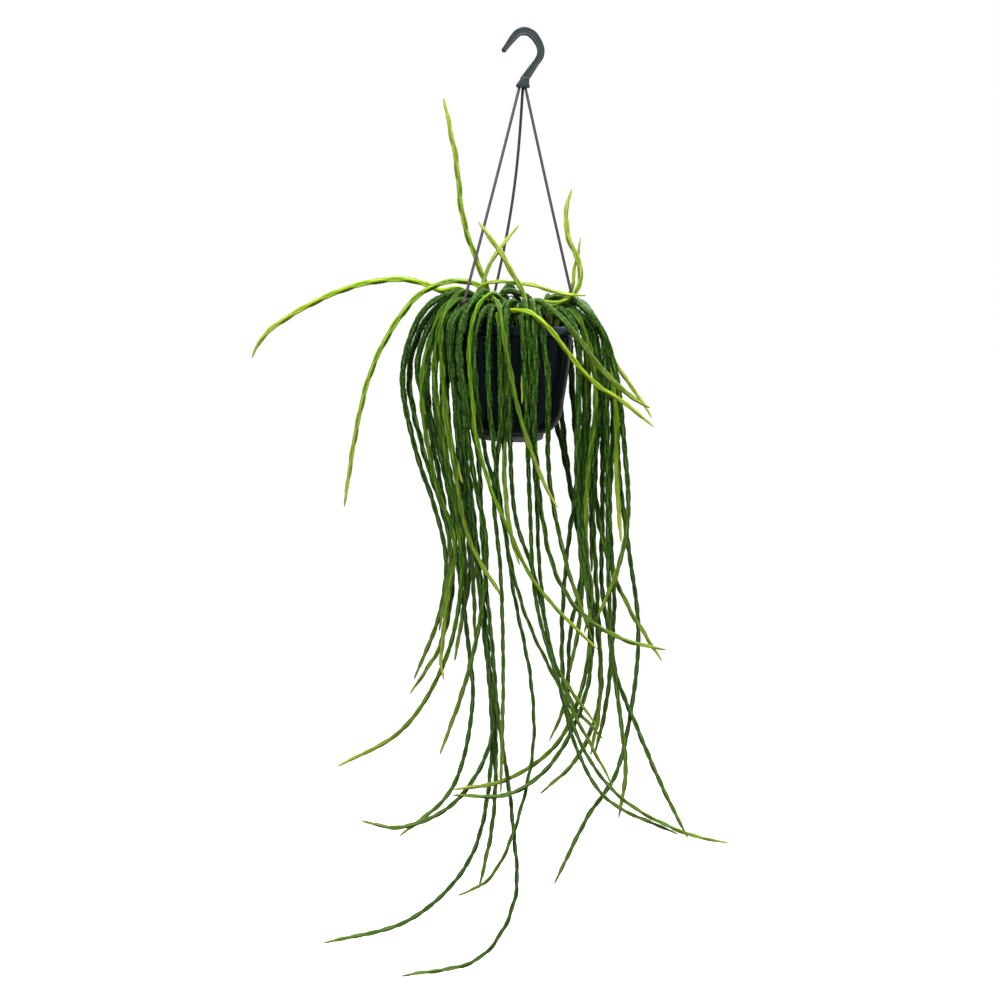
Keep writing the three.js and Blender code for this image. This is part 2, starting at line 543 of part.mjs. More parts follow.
// Spreads the roots on the soil until each has room for its own hole.
function spreadRoots(roots) {
  for (let pass = 0; pass < SPREAD_PASSES; pass += 1) {
    roots.forEach((a, i) => {
      roots.slice(i + 1).forEach((b) => {
        const apart = new THREE.Vector2().subVectors(b, a);
        const distance = Math.max(apart.length(), 0.01);
        if (distance >= ROOT_SPACING) return;
        apart.multiplyScalar((0.5 * (ROOT_SPACING - distance)) / distance);
        a.sub(apart);
        b.add(apart);
      });
      if (a.length() > ROOT_RING_MAX) a.setLength(ROOT_RING_MAX);
    });
  }
}

// The points of a row's view, with Y their own or from its depth at the rim to that at the tip.
function viewPoints(row) {
  const last = row.view.length - 1;
  return row.view.map(([x, z, y], i) => {
    return new THREE.Vector3(x, y ?? THREE.MathUtils.lerp(row.depth[0], row.depth[1], i / last), z);
  });
}

// Two points that carry a stem from where it starts over the rim to where it hangs.
function overRim(start, hang, rise) {
  const crest = new THREE.Vector3().lerpVectors(start, hang, CREST_ALONG).setZ(RIM_Z + rise);
  const lean = new THREE.Vector3().lerpVectors(start, crest, LEAN_ALONG).setZ(RIM_Z + LEAN_RISE * rise);
  return [lean, crest];
}

// The smooth route of a stem: up out of the soil, over its crest and through its points.
function stemCurve(stem, root) {
  const ground = soilZ(root.length());
  const low = new THREE.Vector3(root.x, root.y, ground - ROOT_DEPTH);
  const points = [low, low.clone().setZ(ground + SPROUT)];
  const view = viewPoints(stem);
  if (stem.rise) points.push(...overRim(low, view[0], stem.rise));
  return new THREE.CatmullRomCurve3([...points, ...view], false, "centripetal");
}

// The smooth route of a side shoot, from the middle of the stretch that it forks from.
function shootCurve(row, fork) {
  const view = viewPoints(row);
  const outward = view[0].clone().setZ(fork.z).sub(fork).setLength(SHOOT_LEAD);
  const lead = fork.clone().add(outward).setZ(fork.z + SHOOT_LEAD / 2);
  const crest = new THREE.Vector3().lerpVectors(fork, view[0], SHOOT_CREST_ALONG).setZ(RIM_Z + row.rise);
  return new THREE.CatmullRomCurve3([fork, lead, crest, ...view], false, "centripetal");
}

// The share of its full thickness that a stem has at a place: it swells from its root, thins on its
// long hanging part and closes to a point.
function girthAt(run, length) {
  const { lerp, smoothstep } = THREE.MathUtils;
  const left = length - run;
  const swollen = lerp(BASE_GIRTH, 1, clamp(run / BASE_LENGTH, 0, 1));
  const thinned = lerp(1, LOW_GIRTH, smoothstep(run, THIN_FROM, THIN_TO));
  return swollen * thinned * Math.pow(clamp(left / TIP_POINT, 0, 1), POINT_POWER);
}

// The joints along a curve, one link apart, with the radius at each of them.
function chainAlong(curve, girth) {
  curve.arcLengthDivisions = ARC_DIVISIONS;
  const length = curve.getLength();
  const links = Math.max(MIN_LINKS, Math.round(length / LINK));
  const points = curve.getSpacedPoints(links);
  const radii = points.map((point, i) => girth * girthAt((length * i) / links, length));
  return { points, radii };
}

function stemChain(stem, root) {
  const young = stem.tone === "fresh" || stem.tone === "bright";
  const girth = stem.girth ?? (young ? YOUNG_GIRTH : 1);
  const chain = chainAlong(stemCurve(stem, root), STEM_RADIUS * girth);
  for (let i = 0; i < PINNED_RINGS; i += 1) {
    chain.points[i].x = root.x;
    chain.points[i].y = root.y;
  }
  const home = chain.points.map((point) => point.clone());
  return { ...chain, name: stem.name, tone: stem.tone, home, pinned: PINNED_RINGS };
}

// The middle of the stretch that a shoot forks from.
function forkPoint(parent, joint) {
  return new THREE.Vector3().lerpVectors(parent.points[joint], parent.points[joint + 1], 0.5);
}

function shootChain(row, parent) {
  const chain = chainAlong(shootCurve(row, forkPoint(parent, row.joint)), STEM_RADIUS * YOUNG_GIRTH);
  const home = chain.points.map((point) => point.clone());
  return { ...chain, home, parent, joint: row.joint, pinned: 1 };
}

// The closest points of two straight stretches, as shares along them.
function closestShares(a0, a1, b0, b1) {
  const d1 = new THREE.Vector3().subVectors(a1, a0);
  const d2 = new THREE.Vector3().subVectors(b1, b0);
  const r = new THREE.Vector3().subVectors(a0, b0);
  const a = d1.dot(d1);
  const e = d2.dot(d2);
  const f = d2.dot(r);
  const c = d1.dot(r);
  const b = d1.dot(d2);
  const denominator = a * e - b * b;
  let s = denominator > 1e-9 ? clamp((b * f - c * e) / denominator, 0, 1) : 0.5;
  let t = (b * s + f) / e;
  if (t < 0) {
    t = 0;
    s = clamp(-c / a, 0, 1);
  } else if (t > 1) {
    t = 1;
    s = clamp((b - c) / a, 0, 1);
  }
  return [s, t];
}

// The stretches of all chains that run close enough to each other to be watched.
function closeStretches(chains, reach) {
  const stretches = [];
  chains.forEach((chain, c) => {
    for (let i = 0; i + 1 < chain.points.length; i += 1) {
      const middle = new THREE.Vector3().addVectors(chain.points[i], chain.points[i + 1]).multiplyScalar(0.5);
      stretches.push({ c, i, middle });
    }
  });
  const pairs = [];
  for (let m = 0; m < stretches.length; m += 1) {
    for (let n = m + 1; n < stretches.length; n += 1) {
      if (stretches[m].c === stretches[n].c) continue;
      if (stretches[m].middle.distanceToSquared(stretches[n].middle) > reach * reach) continue;
      pairs.push([stretches[m], stretches[n]]);
    }
  }
  return pairs;
}

// Moves two stretches apart where they are nearer than their radii allow, mostly front to back.
function partStretches(chains, [one, two], flat) {
  const a = chains[one.c];
  const b = chains[two.c];
  if ((a.parent === b && one.i === 0) || (b.parent === a && two.i === 0)) return;
  const [a0, a1, b0, b1] = [a.points[one.i], a.points[one.i + 1], b.points[two.i], b.points[two.i + 1]];
  const [s, t] = closestShares(a0, a1, b0, b1);
  const p = new THREE.Vector3().lerpVectors(a0, a1, s);
  const q = new THREE.Vector3().lerpVectors(b0, b1, t);
  const apart = new THREE.Vector3().subVectors(q, p);
  const distance = apart.length();
  const needed = THREE.MathUtils.lerp(a.radii[one.i], a.radii[one.i + 1], s)
    + THREE.MathUtils.lerp(b.radii[two.i], b.radii[two.i + 1], t) + GAP + EASE_MARGIN;
  if (distance >= needed) return;
  if (flat) {
    const push = apart.y >= 0 ? DEPTH_PUSH : -DEPTH_PUSH;
    apart.set(apart.x * SIDEWAYS_SHARE, apart.y + push, apart.z * UPWARD_SHARE);
  }
  if (apart.lengthSq() < 1e-6) apart.set(0, 1, 0);
  apart.setLength((needed - distance) * 0.5);
  shift(a, one.i, s, apart, -1, b.fixed);
  shift(b, two.i, t, apart, 1, a.fixed);
}

// Moves a share of a stretch by moving the joints at its two ends.
function shift(chain, index, share, move, sign, otherFixed) {
  if (chain.fixed) return;
  const scale = sign * (otherFixed ? 2 : 1);
  if (index >= chain.pinned) chain.points[index].addScaledVector(move, scale * (1 - share));
  if (index + 1 >= chain.pinned) chain.points[index + 1].addScaledVector(move, scale * share);
}

// Moves a chain out of the pot's wall and over its lip.
function clearPot(chain) {
  const heights = chain.points.slice(0, CREST_RINGS).map((point) => point.z);
  const crest = heights.indexOf(Math.max(...heights));
  for (let i = chain.pinned - 1; i + 1 < chain.points.length; i += 1) {
    for (const share of WATCH_SHARES) {
      const point = new THREE.Vector3().lerpVectors(chain.points[i], chain.points[i + 1], share);
      const girth = THREE.MathUtils.lerp(chain.radii[i], chain.radii[i + 1], share) + GAP + EASE_MARGIN;
      const move = potPush(point, girth, i >= crest);
      if (move) shift(chain, i, share, move, 1, false);
    }
  }
}

// The way out for one point of a stem that is too near the pot, or nothing.
function potPush(point, girth, outside) {
  const radius = Math.hypot(point.x, point.y);
  const out = new THREE.Vector3(point.x, point.y, 0).normalize();
  if (point.z > RIM_Z - LIP_CORE) {
    const lip = new THREE.Vector3(out.x * LIP_RING, out.y * LIP_RING, RIM_Z - LIP_CORE);
    const away = new THREE.Vector3().subVectors(point, lip);
    const lack = girth + LIP_CORE - away.length();
    return lack > 0 ? away.setLength(lack) : null;
  }
  if (point.z < POT_FLOOR_Z - SAUCER_HEIGHT - girth) return null;
  if (!outside) {
    const over = radius + girth - (BODY_RADIUS - WALL);
    return over > 0 ? out.multiplyScalar(-over) : null;
  }
  const wall = Math.max(potRadius(point.z + girth), potRadius(point.z), SAUCER_RADIUS);
  const lack = wall + girth - radius;
  return lack > 0 ? out.multiplyScalar(lack) : null;
}

// Fixed bodies that the stems keep clear of: the strands, and each ear as a row of posts.
function obstacles() {
  const list = STRAND_NAMES.map((name, i) => {
    const points = strandPoints(i);
    return { points, radii: points.map(() => STRAND_RADIUS), fixed: true };
  });
  for (const azimuth of EAR_AZIMUTHS) {
    const top = earTop(azimuth);
    const side = new THREE.Vector3(-Math.sin(radians(azimuth)), Math.cos(radians(azimuth)), 0);
    for (const step of [-1, 0, 1]) {
      const foot = top.clone().addScaledVector(side, step * (EAR_WIDTH / 2 - EAR_POST_INSET));
      foot.z = RIM_Z - EAR_POST_INSET;
      const head = foot.clone().setZ(RIM_Z + EAR_RISE - EAR_POST_INSET);
      list.push({ points: [foot, head], radii: [EAR_POST_RADIUS, EAR_POST_RADIUS], fixed: true });
    }
  }
  return list;
}

// Evens out how far neighbouring joints have moved from home, so that a stem stays smooth.
function smoothMoves(chain, strength) {
  const moves = chain.points.map((point, i) => new THREE.Vector3().subVectors(point, chain.home[i]));
  for (let i = chain.pinned; i < moves.length; i += 1) {
    const before = moves[i - 1];
    const after = moves[Math.min(moves.length - 1, i + 1)];
    const mean = new THREE.Vector3().addVectors(before, after).multiplyScalar(0.5);
    const eased = moves[i].clone().lerp(mean, strength);
    chain.points[i].copy(chain.home[i]).add(eased);
  }
}

// Eases every route clear of all the others, of the strands and of the pot.
function easeApart(chains) {
  const all = [...chains, ...obstacles()];
  let pairs = [];
  for (let pass = 0; pass < EASE_PASSES; pass += 1) {
    if (pass % REGROUP_PASSES === 0) pairs = closeStretches(all, WATCH_REACH);
    const late = pass / EASE_PASSES;
    pairs.forEach((pair) => partStretches(all, pair, late < DEPTH_FIRST_SHARE));
    chains.forEach(clearPot);
    if (late < SMOOTH_SHARE) chains.forEach((chain) => smoothMoves(chain, SMOOTHING * (1 - late)));
    chains.filter((chain) => chain.parent).forEach((chain) => {
      chain.points[0].copy(forkPoint(chain.parent, chain.joint));
    });
  }
}

// Adds a ring of three rib corners at each joint of a chain from the given one on, each ring
// turned by half a rib from the last, with a point at the tip. The rings grow from the ring under.
function addRings(mesh, chain, first, turn, under) {
  const frames = ringFrames(chain.points);
  const tip = chain.points.length - 1;
  let lower = under;
  for (let i = first; i < tip; i += 1) {
    const ring = [];
    for (let k = 0; k < RIBS; k += 1) {
      const angle = turn + (2 * Math.PI * (k + (i - first) / 2)) / RIBS;
      ring.push(mesh.positions.length);
      mesh.positions.push(ringVertex(chain.points[i], frames[i], chain.radii[i], angle));
    }
    if (lower) addBand(mesh, lower, ring);
    else mesh.faces.push([ring[0], ring[2], ring[1]]);
    lower = ring;
  }
  const apex = mesh.positions.length;
  mesh.positions.push(chain.points[tip].toArray());
  for (let k = 0; k < RIBS; k += 1) mesh.faces.push([lower[k], lower[(k + 1) % RIBS], apex]);
}

// The faces between two rings, where each upper corner stands between two lower ones.
function addBand(mesh, lower, upper) {
  for (let k = 0; k < RIBS; k += 1) {
    const next = (k + 1) % RIBS;
    mesh.faces.push([lower[k], lower[next], upper[k]], [lower[next], upper[next], upper[k]]);
  }
}

// Grows a shoot out of the face of its stem that looks most towards it.
function addShoot(mesh, shoot) {
  const corner = (index) => new THREE.Vector3(...mesh.positions[index]);
  const lowest = RIBS * shoot.joint;
  let best = null;
  mesh.faces.forEach((face, index) => {
    if (Math.min(...face) < lowest || Math.max(...face) >= lowest + 2 * RIBS) return;
    const triangle = new THREE.Triangle(...face.map(corner));
    const normal = triangle.getNormal(new THREE.Vector3());
    const towards = shoot.points[1].clone().sub(triangle.getMidpoint(new THREE.Vector3())).normalize();
    const facing = normal.dot(towards);
    if (!best || facing > best.facing) best = { facing, face, index };
  });
  mesh.faces.splice(best.index, 1);
  addRings(mesh, shoot, 1, firstTurn(shoot, best.face.map(corner)), best.face);
}

// The angle at which a shoot's first ring stands half a rib on from the corners of its face.
function firstTurn(shoot, corners) {
  const frame = ringFrames(shoot.points)[1];
  const angles = corners.map((corner) => {
    const reach = corner.sub(shoot.points[1]);
    return Math.atan2(reach.dot(frame.v), reach.dot(frame.u));
  });
  const sine = angles.reduce((sum, angle) => sum + Math.sin(RIBS * angle), 0);
  const cosine = angles.reduce((sum, angle) => sum + Math.cos(RIBS * angle), 0);
  const phase = Math.atan2(sine, cosine) / RIBS;
  const rib = (2 * Math.PI) / RIBS;
  return phase + rib * Math.round((angles[0] - phase) / rib) + rib / 2;
}

// The mesh of a stem with the shoots that fork from it.
function stemGeometry(stem, shoots, index) {
  const mesh = { positions: [], faces: [] };
  addRings(mesh, stem, 0, index * RIB_TURN_STEP, null);
  shoots.forEach((shoot) => addShoot(mesh, shoot));
  return indexed(mesh.positions.flat(), mesh.faces.flat());
}

function potGeometry() {
  let solid = solidOf(turned(potOutline(), POT_SIDES));
  EAR_AZIMUTHS.forEach((azimuth) => {
    solid = solid.add(ear(azimuth));
    const top = earTop(azimuth);
    const above = top.clone().setZ(top.z + CUT_PAST);
    const bottom = top.clone().setZ(top.z - EAR_SOCKET_DEPTH);
    solid = solid.subtract(bore(above, bottom, SOCKET_RADIUS, STRAND_SIDES));
  });
  for (let i = 0; i < DRAIN_HOLES; i += 1) {
    const angle = (2 * Math.PI * i) / DRAIN_HOLES;
    const spot = new THREE.Vector3(DRAIN_RING * Math.cos(angle), DRAIN_RING * Math.sin(angle), POT_FLOOR_Z);
    const above = spot.clone().setZ(POT_FLOOR_Z + WALL + CUT_PAST);
    const below = spot.clone().setZ(POT_FLOOR_Z - CUT_PAST);
    solid = solid.subtract(bore(below, above, DRAIN_RADIUS, DRAIN_SIDES));
  }
  return geometryOf(solid);
}

function saucerGeometry() {
  const top = POT_FLOOR_Z - GAP;
  const low = top - SAUCER_HEIGHT;
  const floor = low + SAUCER_WALL;
  const inner = SAUCER_RADIUS - SAUCER_WALL;
  const foot = SAUCER_RADIUS - SAUCER_ROUND;
  const outline = [
    [0, low], [foot, low], [SAUCER_RADIUS - SAUCER_ROUND / 4, low + SAUCER_ROUND / 2],
    [SAUCER_RADIUS, top], [inner, top], [inner - EDGE, floor], [0, floor],
  ];
  return turned(outline, POT_SIDES);
}

// The soil inside the pot, just clear of its wall, mounded, with a hole for each stem.
function soilGeometry(roots) {
  const floor = POT_FLOOR_Z + WALL;
  const heights = [BODY_LOW_Z, ...bowlHeights(floor)].reverse();
  const sides = heights.map((z) => [innerRadius(z) - SOIL_CLEAR, z + GAP]);
  const rings = [innerRadius(SOIL_EDGE_Z) - SOIL_CLEAR, ...SOIL_RINGS];
  const mound = rings.map((radius) => [radius, soilZ(radius)]);
  let solid = solidOf(turned([[0, floor + GAP], ...sides, ...mound], POT_SIDES));
  const reach = (STEM_RADIUS + GAP) / Math.cos(Math.PI / HOLE_SIDES);
  roots.forEach((root) => {
    const ground = soilZ(root.length());
    const top = new THREE.Vector3(root.x, root.y, ground + SOIL_MOUND + CUT_PAST);
    const bottom = new THREE.Vector3(root.x, root.y, ground - ROOT_DEPTH - GAP);
    solid = solid.subtract(bore(top, bottom, reach, HOLE_SIDES));
  });
  return geometryOf(solid);
}

// Where each stem leaves the soil: its own spot, or on its way to the rim.
function rootSpots() {
  const roots = STEMS.map((stem) => {
    if (stem.spot) return new THREE.Vector2(...stem.spot);
    return new THREE.Vector2(stem.view[0][0], stem.depth[0]).setLength(stem.root);
  });
  spreadRoots(roots);
  return roots;
}

function hookSolid() {
  let solid = solidOf(hookGeometry()).add(solidOf(blockGeometry()));
  STRAND_TOPS.forEach(([x, y]) => {
    const top = new THREE.Vector3(x, y, BLOCK_BOTTOM_Z + STRAND_SEAT + GAP);
    const below = new THREE.Vector3(x, y, BLOCK_BOTTOM_Z - CUT_PAST);
    solid = solid.subtract(bore(below, top, SOCKET_RADIUS, STRAND_SIDES));
  });
  return geometryOf(solid);
}

const plant = new THREE.Group();

function addPiece(name, geometry, finish) {
  const mesh = new THREE.Mesh(geometry, finish);
  mesh.name = name;
  plant.add(mesh);
}

const roots = rootSpots();
const stems = STEMS.map((stem, i) => stemChain(stem, roots[i]));
const shoots = SHOOTS.map((row) => shootChain(row, stems.find((stem) => stem.name === row.on)));
easeApart([...stems, ...shoots]);

addPiece("hook", hookSolid(), material("hanger"));
STRAND_NAMES.forEach((name, i) => {
  addPiece(name, tube(strandPoints(i), STRAND_RADIUS, STRAND_SIDES), material("strand"));
});
addPiece("pot", potGeometry(), material("pot"));
addPiece("saucer", saucerGeometry(), material("saucer"));
addPiece("soil", soilGeometry(roots), material("soil"));
stems.forEach((stem, i) => {
  const own = shoots.filter((shoot) => shoot.parent === stem);
  addPiece(stem.name, stemGeometry(stem, own, i), material(stem.tone));
});

export default plant;
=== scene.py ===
"""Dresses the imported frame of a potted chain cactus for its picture.

The plant hangs by a plastic hook: three strands carry a dark pot with a clip-on saucer, and 53 stems grow out of its
soil. Each stem is a chain of short three-ribbed links, and the ribs of each link stand half a step on from those of
the link before. Sizes here are in metres, in the frame's own place.
"""

import json
import logging
import math
from collections.abc import Sequence
from dataclasses import dataclass, field
from enum import Enum
from typing import Any

import bpy
import numpy as np
from mathutils import Matrix, Vector

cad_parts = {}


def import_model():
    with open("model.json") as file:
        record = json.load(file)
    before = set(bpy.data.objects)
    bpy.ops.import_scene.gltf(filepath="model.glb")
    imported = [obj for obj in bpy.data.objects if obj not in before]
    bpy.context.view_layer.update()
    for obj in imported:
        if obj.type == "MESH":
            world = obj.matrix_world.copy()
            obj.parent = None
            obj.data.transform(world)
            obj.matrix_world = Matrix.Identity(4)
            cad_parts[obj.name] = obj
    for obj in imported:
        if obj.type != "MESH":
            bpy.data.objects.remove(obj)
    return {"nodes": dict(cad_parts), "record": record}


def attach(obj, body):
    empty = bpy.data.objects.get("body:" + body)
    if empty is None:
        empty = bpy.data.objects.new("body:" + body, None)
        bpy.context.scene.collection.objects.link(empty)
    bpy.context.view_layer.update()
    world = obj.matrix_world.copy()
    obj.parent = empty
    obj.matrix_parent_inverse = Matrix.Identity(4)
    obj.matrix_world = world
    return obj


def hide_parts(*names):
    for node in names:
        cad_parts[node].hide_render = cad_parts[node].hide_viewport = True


frame: dict[str, Any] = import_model()

MM = 0.001
FULL_TURN = 2 * math.pi
UP = np.array([0.0, 0.0, 1.0])
RIM_Z = -332 * MM
LIP_HEIGHT = 11 * MM
POT_FLOOR_Z = -463 * MM
log = logging.getLogger("chain cactus")

Colour = tuple[int, int, int]
Triple = tuple[float, float, float]
Outline = tuple[tuple[float, float], ...]
Values = dict[str, np.ndarray]
Socket = bpy.types.NodeSocket


def linear(colour: Colour) -> tuple[float, float, float, float]:
    """Turns a colour as a screen shows it into light.

    Each channel is ((c + 0.055) / 1.055) to the power 2.4, or c / 12.92 where it is very dark.

    Args:
        colour: red, green and blue in 0 to 255 steps.

    Returns:
        The light's red, green and blue from 0 to 1, and a full fourth channel.
    """
    shares = np.array(colour) / 255
    light = np.where(shares > 0.04045, ((shares + 0.055) / 1.055) ** 2.4, shares / 12.92)
    return (*(float(value) for value in light), 1.0)


def ease(share: np.ndarray) -> np.ndarray:
    """A smooth step: 3 s squared less 2 s cubed, with s held between 0 and 1."""
    held = np.clip(share, 0, 1)
    return held * held * (3 - 2 * held)


def unit(vectors: np.ndarray) -> np.ndarray:
    """The vectors, each divided by its own length."""
    return vectors / np.maximum(np.linalg.norm(vectors, axis=-1, keepdims=True), 1e-12)


def lengths(path: np.ndarray) -> np.ndarray:
    """How far along a path each of its points lies."""
    return np.concatenate([[0], np.cumsum(np.linalg.norm(np.diff(path, axis=0), axis=1))])


def circle(sides: int) -> np.ndarray:
    """The points of a circle of radius 1: the cosine and the sine of even steps of a full turn."""
    steps = np.linspace(0, FULL_TURN, sides, endpoint=False)
    return np.stack([np.cos(steps), np.sin(steps)], axis=-1)


def raised(flat: np.ndarray, height: float | np.ndarray) -> np.ndarray:
    """Flat points with a height as their third coordinate."""
    return np.concatenate([flat, np.broadcast_to(height, (*flat.shape[:-1], 1))], axis=-1)


def through(points: np.ndarray, at: np.ndarray) -> np.ndarray:
    """Places along a smooth curve through some points.

    Between two points b and c, with their outer neighbours a and d, the curve is the cubic that passes through both
    and whose slope at each is half the step between that point's neighbours.

    Args:
        points: the points, one a row.
        at: where along the row of points, as a number of steps from the first.

    Returns:
        One row for each value in at.
    """
    padded = np.vstack([2 * points[:1] - points[1:2], points, 2 * points[-1:] - points[-2:-1]])
    start = np.clip(np.floor(at).astype(int), 0, len(points) - 2)
    f = (at - start)[:, None]
    a, b, c, d = (padded[start + k] for k in range(4))
    return 0.5 * (2 * b + (c - a) * f + (2 * a - 5 * b + 4 * c - d) * f**2 + (3 * b - a - 3 * c + d) * f**3)


def eased(outline: np.ndarray, distance: float, closed: bool, steps: int = 5) -> np.ndarray:
    """Rounds the corners of a flat outline.

    Each corner p is left at a set distance before it, a, and joined at the same distance after it, b, by the parabola
    (1 - t) squared a + 2 t (1 - t) p + t squared b. Short sides take at most 0.45 of their length from each end.

    Args:
        outline: the corners, one a row.
        distance: how far from a corner its rounding starts.
        closed: whether the last corner joins the first. If it doesn't, both ends stay where they are.
        steps: how many short sides take the place of each corner.

    Returns:
        The rounded outline's points.
    """
    before = np.roll(outline, 1, axis=0) - outline
    after = np.roll(outline, -1, axis=0) - outline
    leave = np.minimum(distance, 0.45 * np.linalg.norm(before, axis=1, keepdims=True))
    join = np.minimum(distance, 0.45 * np.linalg.norm(after, axis=1, keepdims=True))
    a = outline + unit(before) * leave
    b = outline + unit(after) * join
    t = np.linspace(0, 1, steps + 1)[None, :, None]
    arcs = (1 - t) ** 2 * a[:, None] + 2 * t * (1 - t) * outline[:, None] + t**2 * b[:, None]
    if closed:
        return arcs.reshape(-1, 2)
    return np.vstack([outline[:1], arcs[1:-1].reshape(-1, 2), outline[-1:]])


@dataclass
class Shell:
    """Closed surfaces as arrays: points, four-sided and three-sided faces, and values at each point."""

    points: np.ndarray
    quads: np.ndarray
    triangles: np.ndarray
    values: Values = field(default_factory=dict)

    @classmethod
    def tube(cls, rings: np.ndarray, first: np.ndarray, last: np.ndarray, values: Values | None = None) -> "Shell":
        """Closes a stack of rings to a skin, with a fan to a single point at each end.

        Args:
            rings: places by ring, by step around and by axis, counter-clockwise about the way the stack runs.
            first: the point that closes the first ring.
            last: the point that closes the last ring.
            values: numbers by ring and step, carried to the end points as the mean of the nearest ring.

        Returns:
            The closed skin.
        """
        rows, around = rings.shape[:2]
        at = np.arange(rows * around).reshape(rows, around)
        after = np.roll(at, -1, axis=1)
        quads = np.stack([at[:-1], after[:-1], after[1:], at[1:]], axis=-1).reshape(-1, 4)
        start, end = rows * around, rows * around + 1
        low = np.stack([np.full(around, start), after[0], at[0]], axis=-1)
        high = np.stack([np.full(around, end), at[-1], after[-1]], axis=-1)
        points = np.vstack([rings.reshape(-1, 3), first, last])
        carried = {
            name: np.concatenate([value.ravel(), [value[0].mean(), value[-1].mean()]])
            for name, value in (values or {}).items()
        }
        return cls(points, quads, np.vstack([low, high]), carried)

    @classmethod
    def copies(cls, shape: np.ndarray, triangles: np.ndarray, values: Values) -> "Shell":
        """Many small shapes with the same faces.

        Args:
            shape: places by copy, by point of the small shape and by axis.
            triangles: the faces of one small shape.
            values: numbers by copy and point.

        Returns:
            All the copies in one shell.
        """
        count, size = shape.shape[:2]
        faces = triangles[None] + size * np.arange(count)[:, None, None]
        flat = {name: value.ravel() for name, value in values.items()}
        return cls(shape.reshape(-1, 3), np.empty((0, 4), int), faces.reshape(-1, 3), flat)

    @classmethod
    def joined(cls, shells: Sequence["Shell"]) -> "Shell":
        """Puts several shells into one.

        Args:
            shells: the shells, each with the same named values.

        Returns:
            One shell that holds them all.
        """
        shifts = np.cumsum([0, *(len(shell.points) for shell in shells[:-1])])
        return cls(
            np.vstack([shell.points for shell in shells]),
            np.vstack([shell.quads + shift for shell, shift in zip(shells, shifts)]),
            np.vstack([shell.triangles + shift for shell, shift in zip(shells, shifts)]),
            {name: np.concatenate([shell.values[name] for shell in shells]) for name in shells[0].values},
        )

    def as_object(self, name: str, finish: bpy.types.Material) -> bpy.types.Object:
        """Puts the shell into a smooth-shaded mesh object at the origin, with its values as attributes.

        Args:
            name: the object's name.
            finish: the material that it gets.

        Returns:
            The object, in the scene.
        """
        mesh = bpy.data.meshes.new(name)
        mesh.vertices.add(len(self.points))
        mesh.vertices.foreach_set("co", self.points.astype(np.float32).ravel())
        corners = np.concatenate([self.quads.ravel(), self.triangles.ravel()]).astype(np.int32)
        sizes = np.concatenate([np.full(len(self.quads), 4), np.full(len(self.triangles), 3)])
        starts = np.concatenate([[0], np.cumsum(sizes)[:-1]]).astype(np.int32)
        mesh.loops.add(len(corners))
        mesh.loops.foreach_set("vertex_index", corners)
        mesh.polygons.add(len(sizes))
        mesh.polygons.foreach_set("loop_start", starts)
        mesh.polygons.foreach_set("use_smooth", np.ones(len(sizes), bool))
        mesh.update(calc_edges=True)
        for key, value in self.values.items():
            layer = mesh.attributes.new(key, "FLOAT", "POINT")
            layer.data.foreach_set("value", value.astype(np.float32))
        mesh.materials.append(finish)
        piece = bpy.data.objects.new(name, mesh)
        bpy.context.scene.collection.objects.link(piece)
        return piece


def lathe(profile: np.ndarray, sides: int) -> Shell:
    """Turns a profile once about the upright axis.

    Args:
        profile: radius and height by point. It starts and ends on the axis, and has the inside on its left.
        sides: how many flat steps go round.

    Returns:
        The closed skin.
    """
    radius, height = profile[1:-1, 0], profile[1:-1, 1]
    rings = raised(radius[:, None, None] * circle(sides), height[:, None, None])
    return Shell.tube(rings, profile[0, 1] * UP, profile[-1, 1] * UP)


def swept(path: np.ndarray, side: np.ndarray, reach: np.ndarray) -> np.ndarray:
    """Carries a flat section along a path.

    A point of the section is path + across * side + over * (run x side), where run is the way the path goes.

    Args:
        path: the path's points.
        side: a way across the path at each point, made square to the path here.
        reach: across and over by path point and by step round the section.

    Returns:
        Places by path point, by step and by axis.
    """
    run = unit(np.gradient(path, axis=0))
    across = unit(side - np.sum(side * run, axis=1, keepdims=True) * run)
    over = np.cross(run, across)
    return path[:, None] + reach[..., :1] * across[:, None] + reach[..., 1:] * over[:, None]


def rod(path: np.ndarray, radius: np.ndarray, sides: int, side: Triple, values: Values | None = None) -> Shell:
    """A round rod: a circle carried along a path, with both ends closed.

    Args:
        path: the path's points.
        radius: the circle's radius at each of them.
        sides: how many flat steps go round.
        side: a way across the path, where the steps start.
        values: numbers by path point and step.

    Returns:
        The closed skin.
    """
    reach = radius[:, None, None] * circle(sides)
    return Shell.tube(swept(path, np.tile(side, (len(path), 1)), reach), path[0], path[-1], values)


def slab(outline: np.ndarray, thick: float, edge: float) -> np.ndarray:
    """A flat plate with rounded edges, as rings from its front to its back.

    The rings follow a quarter circle at each face: each lies edge * (1 - sin a) inside the outline, and
    edge * (1 - cos a) in from the face.

    Args:
        outline: the plate's outline, counter-clockwise.
        thick: the plate's thickness.
        edge: the radius of its edges.

    Returns:
        Across, up and deep by ring and by step round the outline, with deep 0 in the middle of the plate.
    """
    run = unit(np.roll(outline, -1, axis=0) - np.roll(outline, 1, axis=0))
    inward = np.stack([-run[:, 1], run[:, 0]], axis=1)
    turn = np.linspace(0, math.pi / 2, 6)
    inset = edge * (1 - np.sin(turn))
    deep = edge * (1 - np.cos(turn)) - thick / 2
    inset = np.concatenate([inset, inset[::-1]])
    deep = np.concatenate([deep, -deep[::-1]])
    return raised(outline[None] + inset[:, None, None] * inward[None], deep[:, None, None])


